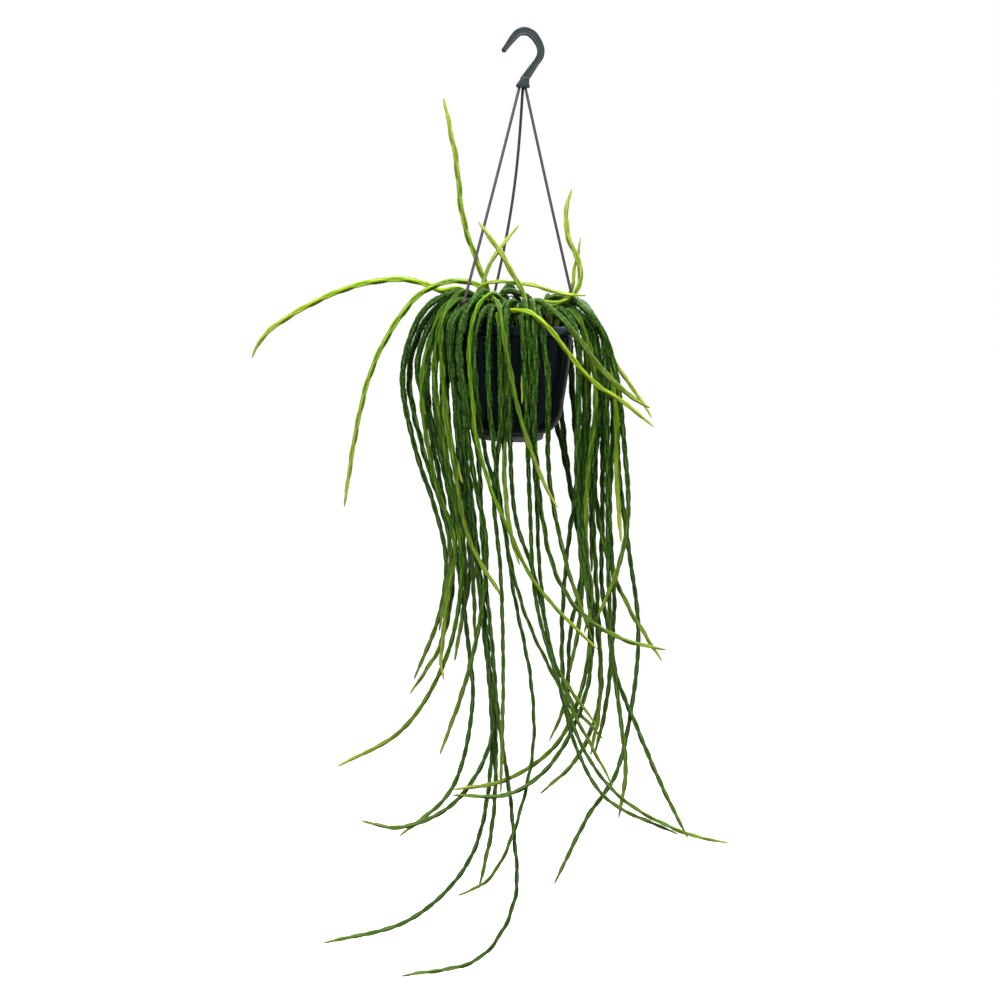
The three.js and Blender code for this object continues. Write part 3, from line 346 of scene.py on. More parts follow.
class Bench:
    """A new node material, with short ways to add what its colour, gloss and relief are made from."""

    def __init__(self, name: str, roughness: float, specular: float) -> None:
        """Starts the material.

        Args:
            name: the material's name.
            roughness: how dull it is.
            specular: how strongly it mirrors.
        """
        self.material = bpy.data.materials.new(name)
        self.material.use_nodes = True
        self.tree = self.material.node_tree
        self.shader = self.tree.nodes["Principled BSDF"]
        self.shader.inputs["Roughness"].default_value = roughness
        self.shader.inputs["Specular IOR Level"].default_value = specular

    def add(self, kind: str, **settings: Any) -> bpy.types.Node:
        """Adds a node.

        Args:
            kind: the node's type.
            settings: its own options.

        Returns:
            The node.
        """
        node = self.tree.nodes.new(kind)
        for key, value in settings.items():
            setattr(node, key, value)
        return node

    def feed(self, socket: Socket, value: Any) -> None:
        """Links an output to a socket, or sets the socket.

        Args:
            socket: the socket.
            value: the output, or a plain number, colour or vector.
        """
        if isinstance(value, Socket):
            self.tree.links.new(value, socket)
        else:
            socket.default_value = value

    def attribute(self, name: str) -> Socket:
        """A value that the piece's mesh holds at each point."""
        return self.add("ShaderNodeAttribute", attribute_name=name).outputs["Fac"]

    def place(self, stretch: Triple = (1, 1, 1)) -> Socket:
        """The piece's own coordinates.

        Args:
            stretch: what they are multiplied by along each axis.

        Returns:
            The coordinates.
        """
        mapping = self.add("ShaderNodeMapping")
        self.feed(mapping.inputs["Vector"], self.add("ShaderNodeTexCoord").outputs["Object"])
        mapping.inputs["Scale"].default_value = stretch
        return mapping.outputs["Vector"]

    def height(self) -> Socket:
        """The height in the piece's own coordinates.

        Returns:
            The height.
        """
        parts = self.add("ShaderNodeSeparateXYZ")
        self.feed(parts.inputs[0], self.place())
        return parts.outputs["Z"]

    def noise(self, vector: Socket, scale: float, detail: float = 3) -> Socket:
        """Soft cloudy values from 0 to 1.

        Args:
            vector: the coordinates that they lie on.
            scale: how many clouds a metre holds.
            detail: how many finer layers they have.

        Returns:
            The values.
        """
        node = self.add("ShaderNodeTexNoise")
        self.feed(node.inputs["Vector"], vector)
        node.inputs["Scale"].default_value = scale
        node.inputs["Detail"].default_value = detail
        return node.outputs["Fac"]

    def span(self, value: Socket, low: float, high: float, to_low: float = 0, to_high: float = 1) -> Socket:
        """Stretches a range of values to a new one, and holds what lies outside.

        Args:
            value: the values.
            low: the value that becomes to_low.
            high: the value that becomes to_high.
            to_low: the new range's start.
            to_high: its end.

        Returns:
            The stretched values.
        """
        node = self.add("ShaderNodeMapRange")
        self.feed(node.inputs["Value"], value)
        for key, number in (("From Min", low), ("From Max", high), ("To Min", to_low), ("To Max", to_high)):
            node.inputs[key].default_value = number
        return node.outputs["Result"]

    def combine(self, kind: str, a: Socket, b: Socket | float) -> Socket:
        """One step of arithmetic.

        Args:
            kind: the step, such as ADD or MULTIPLY.
            a: the first value.
            b: the second value.

        Returns:
            The result.
        """
        node = self.add("ShaderNodeMath", operation=kind)
        self.feed(node.inputs[0], a)
        self.feed(node.inputs[1], b)
        return node.outputs[0]

    def mix(self, share: Socket, a: Socket | Colour, b: Socket | Colour) -> Socket:
        """Goes from one colour to another.

        Args:
            share: how far it has gone.
            a: the colour at share 0.
            b: the colour at share 1.

        Returns:
            The mixed colour.
        """
        node = self.add("ShaderNodeMix", data_type="RGBA")
        self.feed(node.inputs[0], share)
        for index, end in ((6, a), (7, b)):
            self.feed(node.inputs[index], linear(end) if isinstance(end, tuple) else end)
        return node.outputs[2]

    def colour(self, value: Socket) -> None:
        """Gives the shader its colour."""
        self.feed(self.shader.inputs["Base Color"], value)

    def gloss(self, value: Socket) -> None:
        """Gives the shader its roughness."""
        self.feed(self.shader.inputs["Roughness"], value)

    def relief(self, height: Socket, depth: float) -> None:
        """Raises and lowers the surface's shading.

        Args:
            height: the height at each place.
            depth: the size of one unit of it in metres.
        """
        node = self.add("ShaderNodeBump")
        self.feed(node.inputs["Height"], height)
        node.inputs["Distance"].default_value = depth
        node.inputs["Strength"].default_value = 1
        self.feed(self.shader.inputs["Normal"], node.outputs["Normal"])


@dataclass(frozen=True)
class Plastic:
    """A moulded plastic, with faint streaks, dust in patches, a fine grain and, high up, pale patches of dust and
    painted sheen.

    Attributes:
        name: the finish's name.
        body: its colour.
        dust_and_sheen: the colour of its streaks and dust, and of its high patches, which on the pot's lip are partly
            a painted reflection.
        roughness: how dull it is.
        specular: how strongly it mirrors.
        wear: the largest share of the worn colour.
        grain: the depth of the grain in metres.
        dust_and_sheen_from: the height from which that colour lies in larger patches, by default above everything.
            On the pot it is the lip, where the patches are partly dust and partly a painted reflection.
        dulling: how much duller it is where it is dustiest.
    """

    name: str
    body: Colour
    dust_and_sheen: Colour
    roughness: float
    specular: float
    wear: float
    grain: float
    dust_and_sheen_from: float = 1.0
    dulling: float = 0.18

    def material(self) -> bpy.types.Material:
        """Builds the finish.

        Upright streaks times soft patches make a thin dust over the body colour. From dust_and_sheen_from up, whole
        patches
        take the pale colour: dust, and on the pot's lip a painted reflection of the light.

        Returns:
            The material.
        """
        bench = Bench(self.name, self.roughness, self.specular)
        streaks = bench.noise(bench.place(stretch=(1, 1, 0.12)), scale=160, detail=4)
        patches = bench.noise(bench.place(), scale=22)
        dust = bench.combine("MULTIPLY", bench.span(streaks, 0.42, 0.75), bench.span(patches, 0.4, 0.7))
        # Painted reflection in part: high up, whole patches take the pale colour, which on the pot's lip stands for
        # dust and for the light's reflection.
        high = bench.span(bench.height(), self.dust_and_sheen_from, self.dust_and_sheen_from + 1 * MM)
        spread = bench.combine("MULTIPLY", high, bench.span(patches, 0.48, 0.56, 0.04, 0.6))
        share = bench.combine("MAXIMUM", spread, bench.combine("MULTIPLY", dust, self.wear))
        bench.colour(bench.mix(share, self.body, self.dust_and_sheen))
        bench.gloss(bench.span(dust, 0, 1, self.roughness, min(1.0, self.roughness + self.dulling)))
        bench.relief(bench.noise(bench.place(), scale=1400, detail=2), self.grain)
        return bench.material


@dataclass(frozen=True)
class Earth:
    """Potting mix: dark and damp in the hollows, with paler dry crumbs on top.

    Attributes:
        name: the finish's name.
        damp: the colour of the hollows.
        dry: the colour of the crumbs.
        pale: the colour that a chip or stub takes by its own shade.
        crumb_height: the height of the crumbs in metres.
    """

    name: str
    damp: Colour
    dry: Colour
    pale: Colour
    crumb_height: float = 1.2 * MM

    def material(self) -> bpy.types.Material:
        """Builds the finish from coarse crumbs and fine fibre, with each chip's own shade where there is one.

        Returns:
            The material.
        """
        bench = Bench(self.name, roughness=0.9, specular=0.25)
        crumbs = bench.noise(bench.place(), scale=420, detail=5)
        fibre = bench.noise(bench.place(stretch=(1, 1, 0.3)), scale=1300)
        base = bench.mix(bench.span(crumbs, 0.38, 0.66), self.damp, self.dry)
        shade = bench.combine("MULTIPLY", bench.attribute("shade"), bench.span(fibre, 0.3, 0.7))
        bench.colour(bench.mix(shade, base, self.pale))
        bench.relief(bench.combine("ADD", crumbs, bench.combine("MULTIPLY", fibre, 0.4)), self.crumb_height)
        return bench.material


BARK: Colour = (84, 88, 40)
DRY_TIP: Colour = (118, 104, 72)
DOWN: Colour = (168, 180, 124)


@dataclass(frozen=True)
class Skin:
    """The form and the finish of one tone of stem, from old deep green to bright new growth.

    Attributes:
        slot: the record's material slot.
        shaded_valley: the colour between the ribs, a painted shade.
        face: the colour of the links' sides.
        crest: the colour along the ribs: a paler rib margin with a painted highlight.
        tip: the colour of the last links.
        far: the colour of the links' sides far from the root: painted light on the old tones, and painted shade on
            the young ones.
        core: the share of the radius that stays between the ribs.
        keen: how narrow the ribs are, as the power of their cosine.
        down: how much of the full size the pale tufts and bristles at the rib ends have.
        pores: the depth of the skin's pores in metres.
    """

    slot: str
    shaded_valley: Colour
    face: Colour
    crest: Colour
    tip: Colour
    far: Colour
    core: float
    keen: float
    down: float
    pores: float = 0.5 * MM

    @property
    def ages(self) -> bool:
        """Whether the tone's stems have a toothed old part: those with full tufts do."""
        return self.down > 0.5

    def material(self) -> bpy.types.Material:
        """Builds the waxy skin.

        The colour runs from the valley colour, a painted shade, to face to the crest colour, a paler rib margin with
        a painted highlight, with the rib's height, and soft patches even it out. Towards the tip it turns to the far
        colour, most on the sides and the ribs and least in the valleys, and that comes and goes in patches too:
        painted light on the old tones and painted shade on the young ones. Pale streaks in the crest colour, which
        are painted highlights, and dark mottles fade on the way. The last links take the tip's colour, the root is
        bark brown, the dry point is straw and the tufts are pale. Fine noise gives the skin its pores.

        Returns:
            The material.
        """
        bench = Bench(self.slot.replace("stem", "skin"), roughness=0.4, specular=0.12)
        place = bench.place()
        patches = bench.noise(place, scale=38)
        mottle = bench.noise(place, scale=330)
        streaks = bench.noise(bench.place(stretch=(1, 1, 0.4)), scale=420)
        # Painted shade and highlight: with the rib's height the colour goes from a shaded valley colour up to a lit
        # crest colour.
        crest = bench.attribute("crest")
        # Painted light and shade: far brings in the far colour, lighter on the old tones' hanging parts and darker on
        # young stems that hang in the plant's shadow.
        far = bench.combine("MULTIPLY", bench.attribute("far"), bench.span(patches, 0.42, 0.6, 1, 0.66))
        near = bench.span(far, 0, 1, self.down, 0.3 * self.down)
        low = bench.mix(bench.span(far, 0, 1, 0, 0.1), self.shaded_valley, self.far)
        face = bench.mix(far, self.face, self.far)
        high = bench.mix(bench.span(far, 0, 1, 0, 0.85), self.crest, self.far)
        side = bench.mix(bench.span(crest, 0.02, 0.5), low, face)
        ridge = bench.mix(bench.span(crest, 0.5, 1), side, high)
        evened = bench.mix(bench.span(patches, 0.42, 0.68, 0, 0.45), ridge, face)
        # Painted highlight: pale streaks along the stem in the crest colour, fading towards the tip.
        pale = bench.combine("MULTIPLY", bench.span(streaks, 0.5, 0.68, 0, 0.5), near)
        streaked = bench.mix(pale, evened, high)
        dark = bench.combine("MULTIPLY", bench.span(mottle, 0.34, 0.5, 0.32, 0), near)
        skin = bench.mix(dark, streaked, self.shaded_valley)
        for name, end in (("young", self.tip), ("old", BARK), ("dry", DRY_TIP), ("down", DOWN)):
            skin = bench.mix(bench.attribute(name), skin, end)
        bench.colour(skin)
        bench.gloss(bench.span(mottle, 0.3, 0.7, 0.28, 0.5))
        bench.relief(bench.combine("ADD", mottle, bench.combine("MULTIPLY", streaks, 0.8)), self.pores)
        bench.shader.inputs["Subsurface Weight"].default_value = 0.06
        bench.shader.inputs["Subsurface Radius"].default_value = (0.6, 1.0, 0.25)
        bench.shader.inputs["Subsurface Scale"].default_value = 2 * MM
        return bench.material


class Tone(Enum):
    """The stems' tones, from old growth to new."""

    # Each tone's valley colour is a painted shade between the ribs and its crest colour a paler rib margin with a
    # painted highlight; its far colour is painted light on the old tones and painted shade on the young ones.
    DEEP = Skin(
        "stem_deep", shaded_valley=(18, 38, 12), face=(47, 85, 26), crest=(94, 137, 52), tip=(128, 158, 58),
        far=(98, 137, 62), core=0.6, keen=1.5, down=1.0,
    )
    MID = Skin(
        "stem_mid", shaded_valley=(10, 28, 6), face=(41, 81, 18), crest=(101, 146, 47), tip=(156, 180, 58),
        far=(105, 147, 58), core=0.62, keen=1.4, down=0.85,
    )
    FRESH = Skin(
        "stem_fresh", shaded_valley=(38, 78, 8), face=(137, 176, 32), crest=(178, 206, 68), tip=(186, 200, 78),
        far=(58, 103, 25), core=0.68, keen=1.2, down=0.4,
    )
    BRIGHT = Skin(
        "stem_bright", shaded_valley=(70, 114, 4), face=(148, 184, 18), crest=(194, 216, 64), tip=(182, 198, 68),
        far=(88, 136, 26), core=0.74, keen=1.1, down=0.1,
    )


# The pot's lip takes pale patches from its foot up: partly dust, partly a painted reflection.
NAVY = Plastic(
    "pot_plastic", body=(7, 20, 25), dust_and_sheen=(92, 110, 120), roughness=0.16, specular=0.13, wear=0.1, grain=0.03 * MM,
    dust_and_sheen_from=RIM_Z - LIP_HEIGHT,
)
DISH_GREY = Plastic(
    "saucer_plastic", body=(156, 156, 160), dust_and_sheen=(186, 186, 188), roughness=0.45, specular=0.4, wear=0.3,
    grain=0.08 * MM,
)
HANGER_GREY = Plastic(
    "hanger_plastic", body=(52, 62, 65), dust_and_sheen=(88, 96, 98), roughness=0.4, specular=0.34, wear=0.25, grain=0.03 * MM
)
STRAND_GREY = Plastic(
    "strand_plastic", body=(86, 78, 84), dust_and_sheen=(106, 100, 106), roughness=0.4, specular=0.3, wear=0.25,
    grain=0.03 * MM,
)
POTTING_MIX = Earth("potting_mix", damp=(24, 17, 12), dry=(66, 48, 34), pale=(142, 116, 84))
OLD_STUBS = Earth("old_stubs", damp=(16, 20, 8), dry=(52, 60, 26), pale=(168, 138, 100))


@dataclass
class Piece:
    """A finished piece.

    Attributes:
        made: its object.
        slot: the record's material slot. It is not used.
        stands_for: the CAD node whose place it takes, if it takes one.
    """

    made: bpy.types.Object
    slot: str
    stands_for: str | None = None

    def settle(self) -> None:
        """Fixes the piece to the frame, in its CAD node's place where it has one, and logs it."""
        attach(self.made, "root")
        if self.stands_for:
            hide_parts(self.stands_for)
        log.info("%s for %s: %d faces", self.made.name, self.stands_for or "no node", len(self.made.data.polygons))


@dataclass(frozen=True)
class Chain:
    """The joints of one chain of links, from its root end to its tip.

    Attributes:
        centres: the middle of each joint, and the tip last.
        ribs: a way from each joint's middle to a rib, or away from one at every other joint, so that it turns little.
        radii: how far the ribs reach at each joint.
        forked: whether it grows out of another chain's side.
    """

    centres: np.ndarray
    ribs: np.ndarray
    radii: np.ndarray
    forked: bool


class ChainReader:
    """Reads the chains of one stem from its CAD node.

    There each joint is a ring of three corners, joined to the next ring, which stands half a step on. A tip is the
    one point that has only three neighbours. A side shoot starts on a face whose three corners have more than six.
    """

    CORNERS = 3
    MOST_NEIGHBOURS = 6

    def __init__(self, node: bpy.types.Object) -> None:
        """Merges the node's loose corners and notes which of them are joined.

        Args:
            node: the stem's CAD node.
        """
        places = np.empty(3 * len(node.data.vertices), np.float32)
        node.data.vertices.foreach_get("co", places)
        corners = np.empty(len(node.data.loops), np.int32)
        node.data.loops.foreach_get("vertex_index", corners)
        self.points, merged = np.unique(places.reshape(-1, 3).round(6), axis=0, return_inverse=True)
        faces = merged.ravel()[corners].reshape(-1, self.CORNERS)
        self.near = np.zeros((len(self.points), len(self.points)), bool)
        after = np.roll(faces, -1, axis=1)
        self.near[faces, after] = True
        self.near[after, faces] = True
        self.count = self.near.sum(axis=1)

    def rings(self, tip: int, taken: np.ndarray, to_fork: bool) -> tuple[list[np.ndarray], bool]:
        """Walks from a tip towards the root, one ring of corners at a time.

        Args:
            tip: the point to start from.
            taken: which points belong to another chain.
            to_fork: whether a ring whose corners all have many neighbours ends the walk.

        Returns:
            The rings from the tip on, and whether the walk ended at a fork.
        """
        seen = taken.copy()
        seen[tip] = True
        found = [np.array([tip])]
        while True:
            ring = np.flatnonzero(self.near[found[-1]].any(axis=0) & ~seen)
            if ring.size != self.CORNERS:
                return found, False
            seen[ring] = True
            found.append(ring)
            if to_fork and (self.count[ring] > self.MOST_NEIGHBOURS).all():
                return found, True

    def chain(self, rings: list[np.ndarray], forked: bool) -> Chain:
        """Turns rings of corners into joints, with the ribs' way kept steady from joint to joint.

        Args:
            rings: the rings from the tip on.
            forked: whether the chain grows out of another's side.

        Returns:
            The chain, from its root end to its tip.
        """
        corners = self.points[np.array(rings[:0:-1])]
        centres = corners.mean(axis=1)
        reach = corners - centres[:, None]
        radii = np.linalg.norm(reach, axis=2).mean(axis=1)
        reach[1::2] *= -1
        ribs = [reach[-1, 0]]
        for ways in reach[-2::-1]:
            ribs.append(ways[np.argmax(ways @ ribs[-1])])
        tip = self.points[rings[0]]
        return Chain(np.vstack([centres, tip]), unit(np.array(ribs[::-1])), radii, forked)

    def chains(self) -> list[Chain]:
        """Finds all the chains of the stem.

        Returns:
            The chains, the side shoots first.
        """
        taken = np.zeros(len(self.points), bool)
        shoots, main_tips = [], []
        for tip in np.flatnonzero(self.count == self.CORNERS).tolist():
            rings, forked = self.rings(tip, taken, True)
            if forked:
                shoots.append(self.chain(rings, True))
                taken[np.concatenate(rings[:-1])] = True
            else:
                main_tips.append(tip)
        return shoots + [self.chain(self.rings(tip, taken, False)[0], False) for tip in main_tips]


@dataclass(frozen=True)
class Stations:
    """The places along a chain where its rings stand.

    Attributes:
        at: how far along each is, in links.
        line: its middle.
        aged: how old the stem is there, from 0 to 1.
    """

    at: np.ndarray
    line: np.ndarray
    aged: np.ndarray


@dataclass
class ChainStems:
    """All the stems of the plant, one piece for each.

    Attributes:
        around: how many points go round a link.
        along: how many rings a link has.
        tip_rings: how many the round tip has.
        teeth: how many small teeth a rib has along a link in a stem's old part.
        tooth: the rings from one tooth to the next.
        tooth_height: how far the teeth stand out, as a share of the radius.
        old_links: how many links the old part has, in which it fades.
        old_round: how much rounder a stem's oldest part is.
        old_rib: the height that all its six ribs come near.
        old_girth: how much thicker it is.
        closing: the power of the distance to the tip with which the last link closes.
        fading: how far from the root a stem starts to turn to its far colour, and where it is done.
        arms: the young stems that stand free in the light.
        arm_fading: how far these turn to their far colour.
        shaded: how far the other young stems, which hang in the plant's shadow, have turned to it from the start: a
            painted shade.
        fade: over what share of a link the ribs of the joint before it die away.
        rise: over what share of a link its own ribs grow.
        unevenness: how much the ribs' height differs from joint to joint.
        waist: how much narrower a link is just after its joint.
        waist_at: where along the link that is.
        waist_length: over what share of the link it is so.
        shoot_depth: how far inside its stem a side shoot starts.
        shoot_neck: how thick it is there, as a share of its first joint.
        root_depth: how much of the root end stands in the soil.
        young_length: the length over which a tip is new growth.
        old_length: the length over which the root end is barky.
        dry_length: the length of the dry point at the tip.
        tuft: half the width, half the length and the height of a full pale tuft.
        tuft_sizes: the smallest and the largest tuft as a share of that.
        tuft_links: over how many links from the root they get smaller.
        tufts_from: how old the stem is where it has bristles, and tufts in its notches.
        tufted: the share of these notches that have a tuft.
        joint_tufted: the share of the rib ends at the joints that have one.
        bristle: the length and the thickness of a bristle.
    """

    around: int = 24
    along: int = 8
    tip_rings: int = 13
    teeth: int = 3
    tooth: int = 4
    tooth_height: float = 0.36
    old_links: int = 13
    old_round: float = 0.8
    old_rib: float = 0.75
    old_girth: float = 0.14
    closing: float = 0.42
    fading: tuple[float, float] = (230 * MM, 720 * MM)
    arms: tuple[str, ...] = ("spike", "lean", "upright", "arch", "wide", "far", "reach")
    arm_fading: float = 0.3
    shaded: float = 0.94
    fade: float = 0.56
    rise: float = 0.82
    unevenness: float = 0.16
    waist: float = 0.11
    waist_at: float = 0.24
    waist_length: float = 0.16
    shoot_depth: float = 3 * MM
    shoot_neck: float = 0.8
    root_depth: float = 27 * MM
    young_length: float = 95 * MM
    old_length: float = 16 * MM
    dry_length: float = 1.6 * MM
    tuft: Triple = (0.55 * MM, 0.85 * MM, 0.4 * MM)
    tuft_sizes: tuple[float, float] = (0.25, 1.2)
    tuft_links: int = 24
    tufts_from: float = 0.12
    tufted: float = 0.42
    joint_tufted: float = 0.7
    bristle: tuple[float, float] = (3.0 * MM, 0.34 * MM)

    def steps(self, joints: int, old: int) -> np.ndarray:
        """Spaces the rings along a chain, closest on the toothed old part and towards the round tip.

        In the last link the distance to the tip falls as the square of the steps that are left.

        Args:
            joints: how many joints the chain has.
            old: how many of its links are toothed.

        Returns:
            Where each ring lies, in links.
        """
        toothed = np.arange(old * self.teeth * self.tooth) / (self.teeth * self.tooth)
        even = old + np.arange((joints - 1 - old) * self.along) / self.along
        last = 1 - (1 - np.linspace(0, 1, self.tip_rings, endpoint=False)) ** 2
        return np.concatenate([toothed, even, joints - 1 + last])

    def planted(self, chain: Chain) -> tuple[np.ndarray, np.ndarray, np.ndarray]:
        """A chain's joints, with a side shoot's first one thinner and set inside the stem that it grows from.

        Args:
            chain: the chain.

        Returns:
            The joints' middles, the ways to their ribs and their radii.
        """
        centres, ribs, radii = chain.centres.copy(), chain.ribs, chain.radii.copy()
        if chain.forked:
            centres[0] -= unit(centres[1] - centres[0]) * self.shoot_depth
            ribs = np.vstack([-ribs[1:2], ribs[1:]]) if len(radii) > 1 else ribs
            radii[0] = self.shoot_neck * radii[min(1, len(radii) - 1)]
        return centres, ribs, radii

    def heights(
        self, link: np.ndarray, share: np.ndarray, aged: np.ndarray, tallest: np.ndarray
    ) -> tuple[np.ndarray, np.ndarray]:
        """The heights of the two sets of ribs, one of which is full at the even joints and the other at the odd ones.

        Along a link, the set of the joint before dies away as 1 less a smooth step of share / fade, and the next
        joint's set grows as a smooth step of share / rise, to the power 0.8. On the old part both come near old_rib.

        Args:
            link: the link that each ring is on.
            share: how far along it the ring lies.
            aged: how old the stem is there.
            tallest: the ribs' full height at each joint and the tip.

        Returns:
            Both sets' heights at each ring.
        """
        before = tallest[link] * (1 - ease(share / self.fade))
        coming = tallest[link + 1] * ease(share / self.rise) ** 0.8
        before, coming = (rib + self.old_round * aged * (self.old_rib - rib) for rib in (before, coming))
        even = link % 2 == 0
        return np.where(even, before, coming), np.where(even, coming, before)

    def skin(self, chain: Chain, skin: Skin, free: bool, draw: np.random.Generator) -> list[Shell]:
        """One chain's fine surface, and the tufts and bristles on its ribs.

        At a place along the chain, the radius is R * (core + (1 - core) * C + T), where C = A * a + B * b makes the
        ribs. R follows the joints' own radii, is less just after each joint by a bell curve, and closes as a power of
        the distance to the tip. A and B are the heights of the two sets of ribs, which stand 60 degrees apart. a and
        b are the sets' shapes around the stem, ((1 +- cos 3 turn) / 2) to the power keen. T gives the old part its
        teeth: it follows the sine of half a turn for each tooth, to the power 0.8, times C squared.

        Args:
            chain: the joints to follow.
            skin: the stem's form and colours.
            free: whether the stem stands free in the light.
            draw: where chance comes from.

        Returns:
            The surface, the tufts and the bristles.
        """
        joints = len(chain.radii)
        centres, ribs, radii = self.planted(chain)
        old = min(self.old_links, joints - 1) if skin.ages else 0
        at = self.steps(joints, old)
        aged = (skin.down if old else 0) * np.clip(1 - at / self.old_links, 0, 1) ** 0.5
        stations = Stations(at, through(centres, at), aged)
        link = np.minimum(np.floor(at).astype(int), joints - 1)
        after = np.minimum(link + 1, joints - 1)
        share = at - link

        radius = radii[link] * (1 - share) + radii[after] * share
        radius *= np.where(at > joints - 1, np.clip(joints - at, 0, 1) ** self.closing, 1)
        narrowed = np.exp(-(((share - self.waist_at) / self.waist_length) ** 2))
        radius *= 1 - self.waist * (1 - self.old_round * aged) * narrowed
        radius *= 1 + self.old_girth * aged

        tallest = 1 + self.unevenness * draw.uniform(-1, 0.4, joints + 1)
        wave = np.cos(3 * np.linspace(0, FULL_TURN, self.around, endpoint=False))
        ribbed = 0
        for way, height in zip((1, -1), self.heights(link, share, aged, tallest)):
            ribbed = ribbed + height[:, None] * ((1 + way * wave) / 2) ** skin.keen
        toothed = (aged * (np.sin(math.pi * ((at * self.teeth) % 1)) ** 0.8 - 0.5))[:, None]
        teeth = self.tooth_height * toothed * np.clip(ribbed, 0, 1) ** 2
        reach = radius[:, None] * (skin.core + (1 - skin.core) * ribbed + teeth)

        values = self.growth(stations.line, centres[-1], skin, chain.forked, free)
        # Painted shade and highlight: the old links' sides take the shaded valley colour, and the tops of their teeth
        # the lit crest colour.
        values["crest"] = ribbed - 0.35 * aged[:, None] * (1 - wave**2) + 0.5 * toothed
        sides = ribs[link] * (1 - share[:, None]) + ribs[after] * share[:, None]
        rings = swept(stations.line, sides, reach[..., None] * circle(self.around))
        body = Shell.tube(rings, stations.line[0], centres[-1], values)
        return [body, *self.tufts(rings, stations, skin.down, draw)]

    def growth(self, line: np.ndarray, tip: np.ndarray, skin: Skin, forked: bool, free: bool) -> Values:
        """What the colours follow along a chain, from the distances to its root end and to its tip.

        Young falls off as e to the power -1.5 * to_tip / young_length, and old as e to the power
        -(run - root_depth) / old_length. Far is a smooth step of run over the stretch in fading, and dry is one over
        the last dry_length.

        Args:
            line: the rings' middles.
            tip: the tip.
            skin: the stem's form and colours.
            forked: whether the chain is a side shoot.
            free: whether the stem stands free in the light.

        Returns:
            The values by ring and step.
        """
        run = lengths(line)
        to_tip = run[-1] + np.linalg.norm(tip - line[-1]) - run
        start, end = self.fading
        # Painted light and shade: the far colour lightens the old tones away from the root, and young stems out of
        # the light take it almost from the root.
        far = ease((run - start) / (end - start))
        if not skin.ages:
            far = self.arm_fading * far if free else self.shaded + (1 - self.shaded) * far
        barky = 0.5 * np.exp(-np.maximum(run - self.root_depth, 0) / self.old_length)
        rows = {
            "young": np.exp(-1.5 * to_tip / self.young_length),
            "old": 0 * run if forked else barky,
            "dry": ease(1.4 - to_tip / self.dry_length),
            "far": far,
            "down": 0 * run,
        }
        return {name: np.tile(row[:, None], self.around) for name, row in rows.items()}

    def seats(self, stations: Stations, draw: np.random.Generator) -> tuple[np.ndarray, np.ndarray]:
        """Picks where the tufts sit: on three ribs at a joint, and on all six in a notch of the old part.

        Args:
            stations: the places of the rings.
            draw: where chance comes from.

        Returns:
            Each tuft's ring and its step round it.
        """
        at, third = stations.at, self.around // 3
        inner = (at > 0.5) & (at < at.max() - 0.6)
        joint = np.flatnonzero(np.isclose(at, np.round(at)) & inner)
        between_teeth = np.isclose(at * self.teeth, np.round(at * self.teeth))
        notch = np.flatnonzero(between_teeth & inner & (stations.aged > self.tufts_from))
        half = np.where(np.round(at[joint]) % 2 == 0, 0, self.around // 2)[:, None]
        at_joints = ((half + np.arange(3) * third) % self.around).ravel()
        in_notches = np.tile(np.arange(6) * third // 2, len(notch))
        row = np.concatenate([np.repeat(joint, 3), np.repeat(notch, 6)])
        step = np.concatenate([at_joints, in_notches])
        likely = np.where(np.arange(len(row)) < len(at_joints), self.joint_tufted, self.tufted)
        kept = draw.uniform(0, 1, len(row)) < likely
        return row[kept], step[kept]

    def tufts(self, rings: np.ndarray, stations: Stations, down: float, draw: np.random.Generator) -> list[Shell]:
        """The pale tufts at the rib ends and in the old part's notches, and the bristles of the old ones.

        A tuft is a low dome on a four-sided foot, stretched along the stem. A bristle is a thin three-sided spike
        that leans towards the tip. Both are set by side, run and out, the three ways at their place on the rib. Their
        size follows the stem's thickness and a draw, and falls by 0.35 over the first tuft_links links.

        Args:
            rings: the surface's points by ring and step.
            stations: the places of the rings.
            down: how much of their full size the tufts have.
            draw: where chance comes from.

        Returns:
            The tufts and the bristles.
        """
        row, step = self.seats(stations, draw)
        seat, middle = rings[row, step], stations.line[row]
        run = unit(np.gradient(stations.line, axis=0))[row]
        out = seat - middle
        thick = np.linalg.norm(out, axis=1)
        out = unit(out - np.sum(out * run, axis=1, keepdims=True) * run)
        frames = np.stack([np.cross(run, out), run, out], axis=1)
        size = (0.55 + 0.45 * thick / thick.max()) * draw.uniform(*self.tuft_sizes, len(row)) * down**0.4
        size = (size * (1 - 0.35 * ease(stations.at[row] / self.tuft_links)))[:, None, None]

        wide, long, high = self.tuft
        dome = np.vstack([raised(circle(4) * (wide, long), -0.2 * high), [0, 0.2 * long, high], [0, 0, -2 * high]])
        domes = seat[:, None] + size * np.einsum("ki,nij->nkj", dome, frames)
        dome_faces = [[k, (k + 1) % 4, 4] for k in range(4)] + [[(k + 1) % 4, k, 5] for k in range(4)]

        hairy = np.repeat(np.flatnonzero(stations.aged[row] > self.tufts_from), 2)
        count = len(hairy)
        length, thickness = self.bristle
        lean = [draw.uniform(-0.6, 0.6, count), draw.uniform(0.2, 0.9, count), draw.uniform(0.6, 0.9, count)]
        foot = raised(thickness * circle(3), -0.2 * MM) / 2
        spike = np.concatenate([np.tile(foot, (count, 1, 1)), length * np.stack(lean, axis=1)[:, None]], axis=1)
        spikes = seat[hairy][:, None] + size[hairy] * np.einsum("nki,nij->nkj", spike, frames[hairy])
        spike_faces = [[0, 1, 3], [1, 2, 3], [2, 0, 3], [0, 2, 1]]

